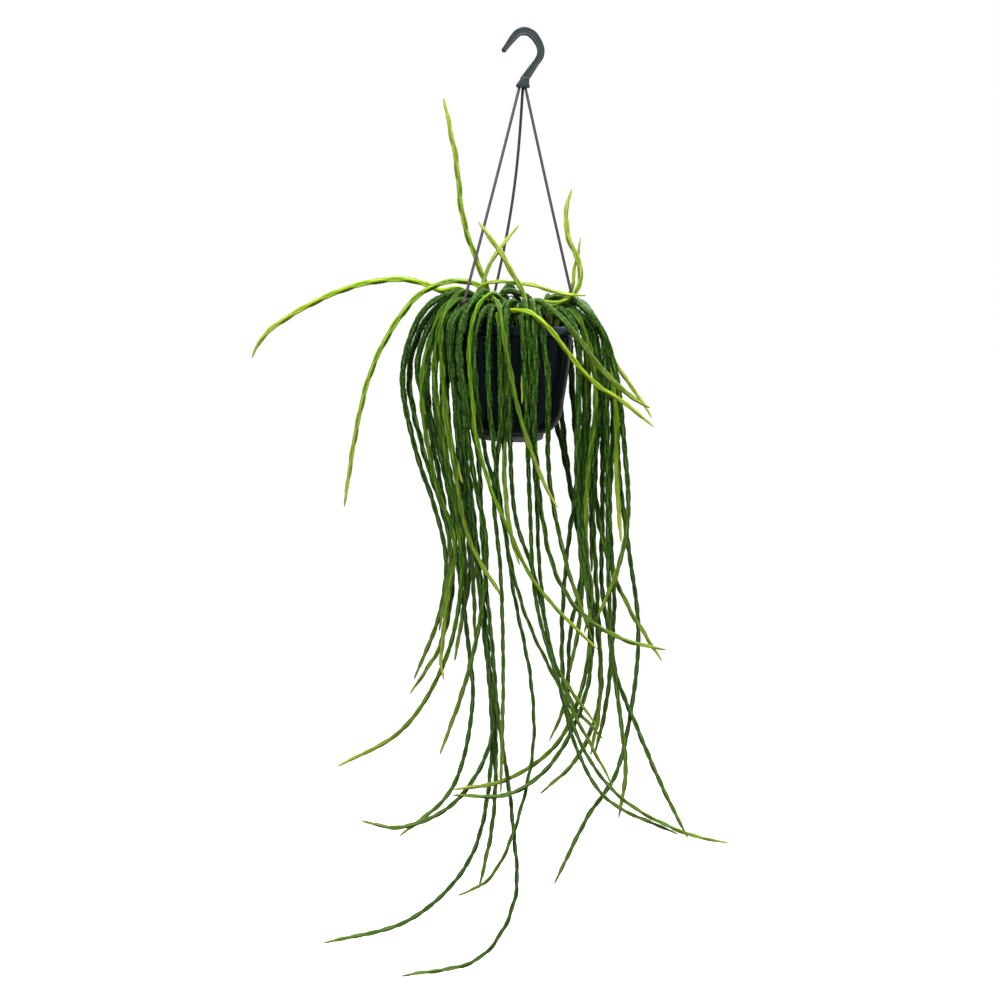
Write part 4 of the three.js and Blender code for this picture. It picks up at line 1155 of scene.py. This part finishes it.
        shells = []
        for shape, faces in ((domes, dome_faces), (spikes, spike_faces)):
            values = {name: np.zeros(shape.shape[:2]) for name in ("crest", "young", "old", "dry", "far")}
            shells.append(Shell.copies(shape, np.array(faces), values | {"down": np.ones(shape.shape[:2])}))
        return shells

    def build(self, nodes: dict[str, bpy.types.Object], slots: dict[str, str]) -> None:
        """Builds the piece of each stem node in its tone.

        Args:
            nodes: the CAD nodes by name.
            slots: the material slots by node.
        """
        tones = {tone.value.slot: tone.value for tone in Tone}
        finishes = {slot: skin.material() for slot, skin in tones.items()}
        stems = sorted(name for name in nodes if name.startswith("stem_"))
        for seed, name in enumerate(stems):
            slot = slots[name]
            free = name.split("_")[1] in self.arms
            draw = np.random.default_rng(seed)
            parts = []
            for chain in ChainReader(nodes[name]).chains():
                parts += self.skin(chain, tones[slot], free, draw)
            made = Shell.joined(parts).as_object(name.replace("stem", "chain"), finishes[slot])
            Piece(made, slot, stands_for=name).settle()


@dataclass
class HangingPot:
    """The pot with its lip, its three ears and its drain holes, and the dish under it.

    Attributes:
        rim_radius: outside radius at the lip.
        bead: the step at the lip's foot.
        body_radius: outside radius just under the lip.
        low_radius: outside radius where the round bottom starts, at low_z.
        low_z: the height there.
        floor_radius: radius of the flat of the bottom.
        wall: the wall's thickness.
        ear_azimuths: where the ears stand, in degrees about the axis.
        ear_size: the ears' width, rise over the rim and thickness.
        ear_head: the width of an ear's top.
        ear_shoulders: the heights over the rim where an ear starts to narrow, and where it narrows faster.
        dish_radius: the saucer's outside radius.
        dish_height: the saucer's height.
        dish_wall: the thickness of its wall and floor.
        dish_gap: how far it hangs under the pot.
        drain_holes: how many drain holes there are.
        drain_radius: their radius.
        drain_ring: how far they are from the axis.
        drill_reach: how far the drill goes below the pot's underside and above it.
        sides: how many flat steps go round.
    """

    rim_radius: float = 75 * MM
    bead: float = 0.8 * MM
    body_radius: float = 71.5 * MM
    low_radius: float = 66 * MM
    low_z: float = RIM_Z - 92 * MM
    floor_radius: float = 43 * MM
    wall: float = 2.6 * MM
    ear_azimuths: tuple[float, ...] = (-6, 110, 217)
    ear_size: Triple = (17 * MM, 23 * MM, 5.6 * MM)
    ear_head: float = 7.2 * MM
    ear_shoulders: tuple[float, float] = (7 * MM, 15 * MM)
    dish_radius: float = 44 * MM
    dish_height: float = 8 * MM
    dish_wall: float = 2.2 * MM
    dish_gap: float = 0.3 * MM
    drain_holes: int = 6
    drain_radius: float = 2.7 * MM
    drain_ring: float = 26 * MM
    drill_reach: tuple[float, float] = (3 * MM, 6 * MM)
    sides: int = 144

    def side(self, share: np.ndarray, inset: float) -> np.ndarray:
        """The wall from the lip down to the round bottom, which narrows with the square of the way down.

        Args:
            share: how far down.
            inset: how far inside the outer face.

        Returns:
            Radius and height.
        """
        top = RIM_Z - LIP_HEIGHT
        radius = self.body_radius + (self.low_radius - self.body_radius) * share**2 - inset
        return np.stack([radius, top + (self.low_z - top) * share], axis=1)

    def bowl(self, share: np.ndarray, inset: float) -> np.ndarray:
        """The round bottom, a quarter ellipse from the side to the flat floor.

        Args:
            share: how far along the quarter turn.
            inset: how far inside the outer face.

        Returns:
            Radius and height.
        """
        turn = share * math.pi / 2
        low = POT_FLOOR_Z + inset
        radius = self.floor_radius - inset + (self.low_radius - self.floor_radius) * np.cos(turn)
        return np.stack([radius, self.low_z - (self.low_z - low) * np.sin(turn)], axis=1)

    def profile(self) -> np.ndarray:
        """The pot's outline from the middle of its underside, up the outside, over the lip and down the inside.

        Returns:
            Radius and height by point.
        """
        share = np.linspace(0, 1, 22)
        rim, bead, low = self.rim_radius, self.bead, RIM_Z - LIP_HEIGHT
        inside = self.body_radius - self.wall
        lip = eased(np.array([
            [self.body_radius, low - 0.1 * MM], [rim - bead, low], [rim, low + bead], [rim, RIM_Z - 2 * bead],
            [rim - 1.5 * bead, RIM_Z], [inside, RIM_Z], [inside, RIM_Z - 3 * MM],
        ]), 0.9 * MM, False)
        up = np.vstack([self.bowl(share, 0)[::-1], self.side(share, 0)[::-1][1:]])
        down = np.vstack([self.side(share, self.wall), self.bowl(share, self.wall)[1:]])
        return np.vstack([[0, POT_FLOOR_Z], up, lip, down, [0, POT_FLOOR_Z + self.wall]])

    def outward(self, index: int) -> np.ndarray:
        """The way from the axis out to an ear: the cosine and the sine of its azimuth."""
        angle = math.radians(self.ear_azimuths[index])
        return np.array([math.cos(angle), math.sin(angle), 0])

    def ear_spot(self, index: int, rise: float) -> np.ndarray:
        """The middle of an ear's thickness, at a height over the rim."""
        return (self.rim_radius - self.ear_size[2] / 2) * self.outward(index) + (RIM_Z + rise) * UP

    def ear(self, index: int) -> Shell:
        """One ear: a rounded tab that rises from the lip, carried round to its azimuth.

        Args:
            index: which ear.

        Returns:
            The ear.
        """
        width, rise, thick = self.ear_size
        half, head, foot = width / 2, self.ear_head / 2, 2 * MM - LIP_HEIGHT
        (low, high), shoulder = self.ear_shoulders, 0.4 * width
        outline = np.array([
            [-half, foot], [half, foot], [half, low], [shoulder, high], [head, rise], [-head, rise],
            [-shoulder, high], [-half, low],
        ])
        rings = slab(eased(outline, 4 * MM, True, 6), thick, 0.9 * MM)
        out = self.outward(index)
        ways = np.array([np.cross(UP, out), UP, -out])
        places = self.ear_spot(index, 0) + rings @ ways
        return Shell.tube(places[:, ::-1], places[0].mean(axis=0), places[-1].mean(axis=0))

    def drilled(self, made: bpy.types.Object) -> None:
        """Cuts the drain holes through the floor and leaves the cut mesh in the piece.

        Args:
            made: the pot.
        """
        below, above = self.drill_reach
        drills = []
        for spot in raised(self.drain_ring * circle(self.drain_holes), POT_FLOOR_Z):
            path = np.stack([spot - below * UP, spot + above * UP])
            drills.append(rod(path, np.full(2, self.drain_radius), 24, (1, 0, 0)))
        drill = Shell.joined(drills).as_object("drill", made.data.materials[0])
        cut = made.modifiers.new("drain holes", "BOOLEAN")
        cut.operation = "DIFFERENCE"
        cut.object = drill
        whole = made.data
        made.data = bpy.data.meshes.new_from_object(made.evaluated_get(bpy.context.evaluated_depsgraph_get()))
        made.modifiers.clear()
        bpy.data.objects.remove(drill)
        bpy.data.meshes.remove(whole)

    def dish(self) -> Shell:
        """The saucer: a shallow dish with a low foot ring and a thin upright wall.

        Returns:
            The saucer.
        """
        top = POT_FLOOR_Z - self.dish_gap
        low = top - self.dish_height
        floor = low + self.dish_wall
        radius, inner, foot = self.dish_radius, self.dish_radius - self.dish_wall, 0.5 * MM
        outline = np.array([
            [0, low + foot], [radius - 8 * MM, low + foot], [radius - 7 * MM, low], [radius - 2.4 * MM, low],
            [radius - foot, low + 1.4 * MM], [radius, top - 1 * MM], [radius - 0.2 * MM, top], [inner, top],
            [inner - 0.8 * MM, floor], [0, floor],
        ])
        return lathe(eased(outline, 1 * MM, False), self.sides)

    def build(self) -> None:
        """Builds the pot with its ears, and its saucer."""
        navy = NAVY.material()
        pot = lathe(self.profile(), self.sides).as_object("pot_body", navy)
        self.drilled(pot)
        tabs = Shell.joined([self.ear(index) for index in range(len(self.ear_azimuths))]).as_object("pot_ears", navy)
        dish = self.dish().as_object("drip_saucer", DISH_GREY.material())
        Piece(pot, "pot", stands_for="pot").settle()
        Piece(tabs, "pot").settle()
        Piece(dish, "saucer", stands_for="saucer").settle()


@dataclass
class PottingSoil:
    """The potting mix, which fills the pot to a low mound, with bark chips and old stubs on it.

    Attributes:
        edge_z: the height at the wall.
        mound: how much higher the middle is.
        mound_radius: where the mound ends.
        clear: how far the soil stays from the wall.
        sides: how many flat steps go round.
        wave_count: how many small waves its top has.
        wave_numbers: the radians that the longest and the shortest wave turn through in a metre.
        wave_slope: how steep each wave is.
        wave_seed: where the chance in the waves starts.
        chips: how many bark chips lie on top.
        chip_reach: how far from the axis they lie.
        chip_sizes: the radius of the smallest and of the largest chip in millimetres.
        chip_corners: how many corners a chip has.
        chip_seed: where the chance in the chips starts.
        stubs: how many old stubs and roots stand in it.
        stub_reach: how far from the axis they stand.
        least_stub: the rise, the drift and the radius of the smallest stub, in millimetres.
        largest_stub: those of the largest one.
        stub_seed: where the chance in the stubs starts.
    """

    edge_z: float = RIM_Z - 9 * MM
    mound: float = 8 * MM
    mound_radius: float = 58 * MM
    clear: float = 0.7 * MM
    sides: int = 160
    wave_count: int = 24
    wave_numbers: tuple[float, float] = (140, 700)
    wave_slope: float = 0.16
    wave_seed: int = 7
    chips: int = 620
    chip_reach: float = 66 * MM
    chip_sizes: tuple[float, float] = (1.2, 4.2)
    chip_corners: int = 5
    chip_seed: int = 11
    stubs: int = 150
    stub_reach: float = 60 * MM
    least_stub: Triple = (12, 3, 0.8)
    largest_stub: Triple = (38, 22, 2.2)
    stub_seed: int = 17

    def height(self, x: np.ndarray, y: np.ndarray) -> np.ndarray:
        """The soil's height: a mound that falls with the square of the radius, plus small sine waves of mixed ways.

        Args:
            x: places across.
            y: places deep.

        Returns:
            The height at each place.
        """
        draw = np.random.default_rng(self.wave_seed)
        count = self.wave_count
        turn, steep = draw.uniform(0, FULL_TURN, count), draw.uniform(*self.wave_numbers, count)
        phase = draw.uniform(0, FULL_TURN, count)
        ahead = x[..., None] * np.cos(turn) + y[..., None] * np.sin(turn)
        waves = self.wave_slope * np.sum(np.sin(ahead * steep + phase) / steep, axis=-1)
        share = np.clip(np.hypot(x, y) / self.mound_radius, 0, 1)
        return self.edge_z + self.mound * (1 - share**2) + waves - 0.5 * MM

    def body(self, pot: HangingPot) -> Shell:
        """The fill: the pot's inside from its floor up, just clear of it, closed by the uneven top.

        Args:
            pot: the pot that it fills.

        Returns:
            The fill, with the same low shade all over.
        """
        share = np.linspace(0, 1, 12)
        inset = pot.wall + self.clear
        up = np.vstack([pot.bowl(share, inset)[::-1], pot.side(share, inset)[::-1]])
        up = up[up[:, 1] < self.edge_z - 2 * MM]
        top = np.linspace(pot.body_radius - inset - 0.4 * MM, 1 * MM, 64)
        flat = np.concatenate([up[:, 0], top])[:, None, None] * circle(self.sides)
        z = self.height(flat[..., 0], flat[..., 1])
        z[: len(up)] = up[:, 1:]
        shade = np.full(z.shape, 0.1)
        return Shell.tube(raised(flat, z[..., None]), up[0, 1] * UP, z[-1].mean() * UP, {"shade": shade})

    def bark(self) -> Shell:
        """The chips: uneven flakes with sloped edges, turned any way about the upright and tilted a little.

        Returns:
            All the chips, each with a shade of its own.
        """
        draw = np.random.default_rng(self.chip_seed)
        count, n = self.chips, self.chip_corners
        spread = self.chip_reach * np.sqrt(draw.uniform(0, 1, count))
        angle = draw.uniform(0, FULL_TURN, count)
        x, y = spread * np.cos(angle), spread * np.sin(angle)
        size = draw.uniform(*self.chip_sizes, count) * MM
        corner = np.arange(n) * FULL_TURN / n + draw.uniform(-0.4, 0.4, (count, n))
        reach = size[:, None] * draw.uniform(0.6, 1.1, (count, n))
        long = draw.uniform(1, 1.8, (count, 1))
        flat = np.stack([long * reach * np.cos(corner), reach * np.sin(corner)], axis=-1)
        half = (0.18 * size * draw.uniform(0.7, 1.4, count))[:, None, None]
        shape = np.concatenate([raised(flat, -half), raised(0.82 * flat, half)], axis=1)
        turn, tilt = draw.uniform(0, FULL_TURN, count), draw.normal(0, 0.3, (2, count))
        upright = unit(np.stack([*tilt, np.ones(count)], axis=1))
        side = unit(np.cross(upright, np.stack([np.cos(turn), np.sin(turn), np.zeros(count)], axis=1)))
        frames = np.stack([np.cross(side, upright), side, upright], axis=1)
        spot = np.stack([x, y, self.height(x, y) + 0.5 * half[:, 0, 0]], axis=1)
        places = spot[:, None] + np.einsum("nki,nij->nkj", shape, frames)
        edges = [[k, (k + 1) % n, n + k] for k in range(n)]
        edges += [[(k + 1) % n, n + (k + 1) % n, n + k] for k in range(n)]
        caps = [[n, n + k, n + k + 1] for k in range(1, n - 1)] + [[0, k + 1, k] for k in range(1, n - 1)]
        shade = np.repeat(draw.uniform(0.1, 0.9, count)[:, None], 2 * n, axis=1)
        return Shell.copies(places, np.array(edges + caps), {"shade": shade})

    def stub(self, spread: float, angle: float, lean: float, draw: np.random.Generator) -> Shell:
        """One stub or root: a thin tube that narrows by 0.45 of its radius, rises as a sine and drifts as a power.

        Args:
            spread: the square of its distance from the axis, as a share of the largest.
            angle: which way from the axis it stands.
            lean: which way it leans.
            draw: where chance comes from.

        Returns:
            The tube.
        """
        share = np.linspace(0, 1, 7)[:, None]
        away = self.stub_reach * math.sqrt(spread)
        x, y = away * math.cos(angle), away * math.sin(angle)
        foot = np.array([x, y, self.height(np.array(x), np.array(y)) - 2 * MM])
        rise, drift, thick = draw.uniform(self.least_stub, self.largest_stub) * MM
        way = np.array([math.cos(lean), math.sin(lean), 0])
        line = foot + drift * share**1.6 * way + rise * np.sin(share * draw.uniform(1.2, 2.6)) * UP
        radius = thick * (1 - 0.45 * share) * draw.uniform(0.85, 1.15, (len(share), 1))
        shade = np.full((len(share), 6), draw.uniform(0, 0.9))
        return rod(line, radius.ravel(), 6, (1.0, 0.3, 0.1), {"shade": shade})

    def tangle(self) -> Shell:
        """Old brown stubs and roots, which rise out of the soil and lean any way.

        Returns:
            All of them, each with a shade of its own.
        """
        draw = np.random.default_rng(self.stub_seed)
        spots = draw.uniform([[0], [0], [0]], [[1], [FULL_TURN], [FULL_TURN]], (3, self.stubs))
        return Shell.joined([self.stub(*spot, draw) for spot in spots.T])

    def build(self, pot: HangingPot) -> None:
        """Builds the soil, its chips and the old stubs.

        Args:
            pot: the pot that it fills.
        """
        finish = POTTING_MIX.material()
        Piece(self.body(pot).as_object("potting_soil", finish), "soil", stands_for="soil").settle()
        Piece(self.bark().as_object("bark_chips", finish), "soil").settle()
        Piece(self.tangle().as_object("old_stubs", OLD_STUBS.material()), "soil").settle()


@dataclass
class Hanger:
    """The hook with the block at its foot, and the three strands that carry the pot.

    Attributes:
        outer: the hook's outer line from its tip to its foot, across and up in millimetres.
        inner: its inner line, with a point for each of the outer ones.
        thick: the hook's thickness.
        block_x: how far the block's middle is from the axis.
        block_half: half the block's width.
        block_z: the block's top and bottom.
        block_thick: the block's thickness.
        tops: where the strands leave the block, in millimetres.
        bows: how far each strand bows out of its straight line, in millimetres.
        names: the strands' CAD nodes, in the order of the pot's ears.
        strand_radius: the strands' radius.
        bead_height: how far a strand's bead stands out.
        bead_half: half the bead's length.
    """

    outer: Outline = (
        (-28, -17.2), (-22, -7.5), (-16.5, 1), (-11, 6.8), (-4, 9.1), (3, 8.3), (9.6, 5.2), (15, -0.4), (19.2, -7),
        (21.8, -13.8), (22, -20), (20.3, -25.6), (16, -32.6), (11.5, -40.3), (6.2, -49.4), (3.8, -53.4),
    )
    inner: Outline = (
        (-22.4, -19), (-17.5, -12.8), (-12.3, -6.4), (-7.2, -1.4), (0, 0), (3, -1.4), (6.4, -4.4), (9.2, -8),
        (11.6, -11.8), (13.2, -16.4), (13.3, -20.6), (11.9, -25.2), (8.4, -30.2), (3, -38), (-3, -46.5),
        (-5.9, -50.6),
    )
    thick: float = 7 * MM
    block_x: float = -1.2 * MM
    block_half: float = 8 * MM
    block_z: tuple[float, float] = (-47.4 * MM, -59.5 * MM)
    block_thick: float = 13 * MM
    tops: Outline = ((1.8, -1.4), (-1.2, 3.2), (-5.2, -1.4))
    bows: Outline = ((-0.5, 0), (6.5, 3), (0.5, 0))
    names: tuple[str, ...] = ("strand_right", "strand_back", "strand_left")
    strand_radius: float = 1.7 * MM
    bead_height: float = 0.85 * MM
    bead_half: float = 2.5 * MM

    def crook(self) -> Shell:
        """The crook and its shank: a rounded section with a shallow groove down each flat face.

        The middle line runs halfway between the outer and the inner one, and the width is the distance between them.
        The section is a rounded oblong, cos and sin each to the power 0.5, and its thickness dips by a fifth in the
        middle of its width. It closes as a half circle at the tip.

        Returns:
            The crook and its shank.
        """
        at = np.linspace(0, len(self.outer) - 1, 110)
        outer, inner = (through(np.array(line) * MM, at) for line in (self.outer, self.inner))
        middle = (outer + inner) / 2
        half = np.linalg.norm(outer - inner, axis=1) / 2
        cap = np.linspace(0.12, math.pi / 2, 9)[:-1]
        tip = middle[0] + unit(middle[0] - middle[1]) * (0.9 * half[0] * np.cos(cap))[:, None]
        flat = np.vstack([tip, middle])
        closing = np.concatenate([np.sin(cap), np.ones(len(middle))])
        half_width = closing * np.concatenate([np.full(len(tip), half[0]), half])
        half_thick = closing * self.thick * (0.86 + 0.14 * ease(np.linspace(0, 2.6, len(flat)))) / 2
        across, over = (np.sign(circle(40)) * np.abs(circle(40)) ** 0.5).T
        over = over * (1 - 0.2 * ease((0.7 - np.abs(across)) / 0.18))
        reach = np.stack([half_width[:, None] * across, half_thick[:, None] * over], axis=-1)
        path = np.stack([flat[:, 0], 0 * flat[:, 0], flat[:, 1]], axis=1)
        deep = np.tile([0.0, 1.0, 0.0], (len(path), 1))
        run = unit(np.gradient(path, axis=0))
        return Shell.tube(swept(path, np.cross(deep, run), reach), path[0], path[-1])

    def block(self) -> Shell:
        """The block, with one sloped shoulder and a small lip round its foot.

        Returns:
            The block.
        """
        half, step, lip = self.block_half, 0.7 * MM, 3 * MM
        top, low = self.block_z
        outline = np.array([
            [-half, low], [half, low], [half, low + lip], [half - step, low + lip + step], [half - step, top],
            [-2 * step, top], [step - half, low + lip + step], [-half, low + lip],
        ]) + [self.block_x, 0]
        rings = slab(eased(outline, 0.9 * MM, True), self.block_thick, 1.1 * MM)
        places = rings[..., [0, 2, 1]][::-1, ::-1]
        return Shell.tube(places, places[0].mean(axis=0), places[-1].mean(axis=0))

    def strand(self, index: int, pot: HangingPot) -> Shell:
        """One strand: a round rod from the block to its ear, with a small bead where it goes into the ear.

        Between its ends the rod bows out of a straight line as the sine of half a turn.

        Args:
            index: which strand.
            pot: the pot that it carries.

        Returns:
            The rod and its bead.
        """
        low = pot.ear_spot(index, pot.ear_size[1])
        top = np.array([*np.array(self.tops[index]) * MM, self.block_z[1]])
        share = np.linspace(0, 1, 72)[:, None]
        line = top + (low - top) * share + np.sin(math.pi * share) * np.array([*self.bows[index], 0]) * MM
        line = np.vstack([top + 3 * MM * UP, line, low - 4 * MM * UP])
        side = (1.0, 0.2, 0.0)
        whole = rod(line, np.full(len(line), self.strand_radius), 16, side)
        along = lengths(line)
        share = np.linspace(-1, 1, 13)
        at = along[-2] - 1.2 * MM + self.bead_half * share
        path = np.stack([np.interp(at, along, line[:, k]) for k in range(3)], axis=1)
        return Shell.joined([whole, rod(path, self.bead(share), 20, side)])

    def bead(self, share: np.ndarray) -> np.ndarray:
        """The bead's radius along its length: a half ellipse, starting just inside the strand."""
        inside = 0.1 * MM
        return self.strand_radius - inside + (self.bead_height + inside) * np.sqrt(np.clip(1 - share**2, 0, 1))

    def build(self, pot: HangingPot) -> None:
        """Builds the hook and the strands.

        Args:
            pot: the pot that they carry.
        """
        hook = Shell.joined([self.crook(), self.block()]).as_object("plastic_hook", HANGER_GREY.material())
        Piece(hook, "hanger", stands_for="hook").settle()
        finish = STRAND_GREY.material()
        for index, name in enumerate(self.names):
            made = self.strand(index, pot).as_object(name.replace("strand", "rod"), finish)
            Piece(made, "strand", stands_for=name).settle()


@dataclass(frozen=True)
class SoftLight:
    """A square soft light.

    Attributes:
        name: its name.
        spot: where it stands.
        size: the length of its sides.
        watts: its power.
    """

    name: str
    spot: Triple
    size: float
    watts: float

    def place(self, target: Vector) -> None:
        """Puts the light into the scene.

        Args:
            target: the place that it faces.
        """
        data = bpy.data.lights.new(self.name, "AREA")
        data.shape = "SQUARE"
        data.size = self.size
        data.energy = self.watts
        lamp = bpy.data.objects.new(self.name, data)
        lamp.location = self.spot
        lamp.rotation_euler = (target - Vector(self.spot)).to_track_quat("-Z", "Y").to_euler()
        bpy.context.scene.collection.objects.link(lamp)


@dataclass
class Studio:
    """The pale floor, the soft light and the camera.

    Attributes:
        floor_z: the floor's height, well under the lowest tip.
        floor_radius: how far it reaches.
        floor_glow: how much light it gives off itself, as a lit studio table does.
        sky_light: how much of their white the surroundings give off as light.
        sky_gloss: how much of it gloss mirrors.
        plant_z: the height of the plant's middle, which the lights face.
        lights: the lights.
        eye: where the camera stands.
        pitch: how far down it looks, in degrees.
        roll: how far the picture is turned, in degrees.
        focal_share: the lens's focal length as a share of the frame's width.
        sensor: the frame's width in millimetres.
        sight: how far the camera sees.
    """

    floor_z: float = -1.62
    floor_radius: float = 14.0
    floor_glow: float = 0.95
    sky_light: float = 0.15
    sky_gloss: float = 0.38
    plant_z: float = -0.45
    lights: tuple[SoftLight, ...] = (
        SoftLight("key_light", (-0.7, -1.8, 1.5), 0.7, 73),
        SoftLight("fill_light", (1.3, -1.7, 0.8), 1.0, 14),
        SoftLight("top_light", (0.1, 0.2, 1.7), 1.0, 44),
        SoftLight("back_light", (0.9, 1.9, 0.6), 1.4, 28),
    )
    eye: Triple = (-0.0048, -2.2, -0.1758)
    pitch: float = 9.6
    roll: float = 2.74
    focal_share: float = 1.844
    sensor: float = 36.0
    sight: float = 60.0

    def floor(self) -> None:
        """A wide round floor in plain matt off-white. It leaves the light on the plant to the surroundings."""
        radius, thick = self.floor_radius, 0.02
        profile = np.array([[0, -thick], [radius, -thick], [radius, 0], [0.5, 0], [0, 0]]) + [0, self.floor_z]
        bench = Bench("studio_floor", roughness=0.9, specular=0.1)
        bench.colour(bench.mix(bench.noise(bench.place(), scale=3), (238, 238, 238), (242, 242, 242)))
        bench.shader.inputs["Emission Color"].default_value = (1, 1, 1, 1)
        bench.shader.inputs["Emission Strength"].default_value = self.floor_glow
        made = lathe(profile, 96).as_object("studio_floor", bench.material)
        made.visible_diffuse = False
        made.visible_glossy = False

    def sky(self) -> None:
        """White surroundings that light the plant only dimly, so that the lamps give it its shape."""
        world = bpy.data.worlds.new("studio_light")
        world.use_nodes = True
        tree = world.node_tree
        shade = tree.nodes["Background"]
        ray = tree.nodes.new("ShaderNodeLightPath")
        dim = tree.nodes.new("ShaderNodeMapRange")
        dim.inputs["To Min"].default_value = self.sky_light
        dim.inputs["To Max"].default_value = self.sky_gloss
        most = tree.nodes.new("ShaderNodeMath")
        most.operation = "MAXIMUM"
        tree.links.new(ray.outputs["Is Glossy Ray"], dim.inputs["Value"])
        tree.links.new(dim.outputs["Result"], most.inputs[0])
        tree.links.new(ray.outputs["Is Camera Ray"], most.inputs[1])
        tree.links.new(most.outputs[0], shade.inputs["Strength"])
        shade.inputs["Color"].default_value = (1, 1, 1, 1)
        bpy.context.scene.world = world

    def camera(self) -> None:
        """Stands the camera at the eye, pitched down and rolled, so that the pot's axis leans as in the picture."""
        pitch, roll = math.radians(self.pitch), math.radians(self.roll)
        ahead = Vector((0, math.cos(pitch), -math.sin(pitch)))
        level = Vector((1, 0, 0))
        upright = Vector((0, math.sin(pitch), math.cos(pitch)))
        right = level * math.cos(roll) + upright * math.sin(roll)
        up = upright * math.cos(roll) - level * math.sin(roll)
        data = bpy.data.cameras.new("eye")
        data.sensor_width = self.sensor
        data.lens = self.sensor * self.focal_share
        data.clip_end = self.sight
        eye = bpy.data.objects.new("eye", data)
        eye.matrix_world = Matrix.Translation(self.eye) @ Matrix((right, up, -ahead)).transposed().to_4x4()
        bpy.context.scene.collection.objects.link(eye)
        bpy.context.scene.camera = eye

    def build(self) -> None:
        """Sets up the whole studio."""
        self.floor()
        self.sky()
        for light in self.lights:
            light.place(Vector((0, 0, self.plant_z)))
        self.camera()
        bpy.context.scene.view_settings.view_transform = "Standard"


def main() -> None:
    """Builds the pieces in order."""
    logging.basicConfig(level=logging.INFO, format="%(name)s: %(message)s")
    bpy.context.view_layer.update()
    slots = {part["node"]: part["material_slot"] for part in frame["record"]["subparts"]}
    pot = HangingPot()
    pot.build()
    PottingSoil().build(pot)
    Hanger().build(pot)
    ChainStems().build(frame["nodes"], slots)
    Studio().build()


if __name__ == "__main__":
    main()
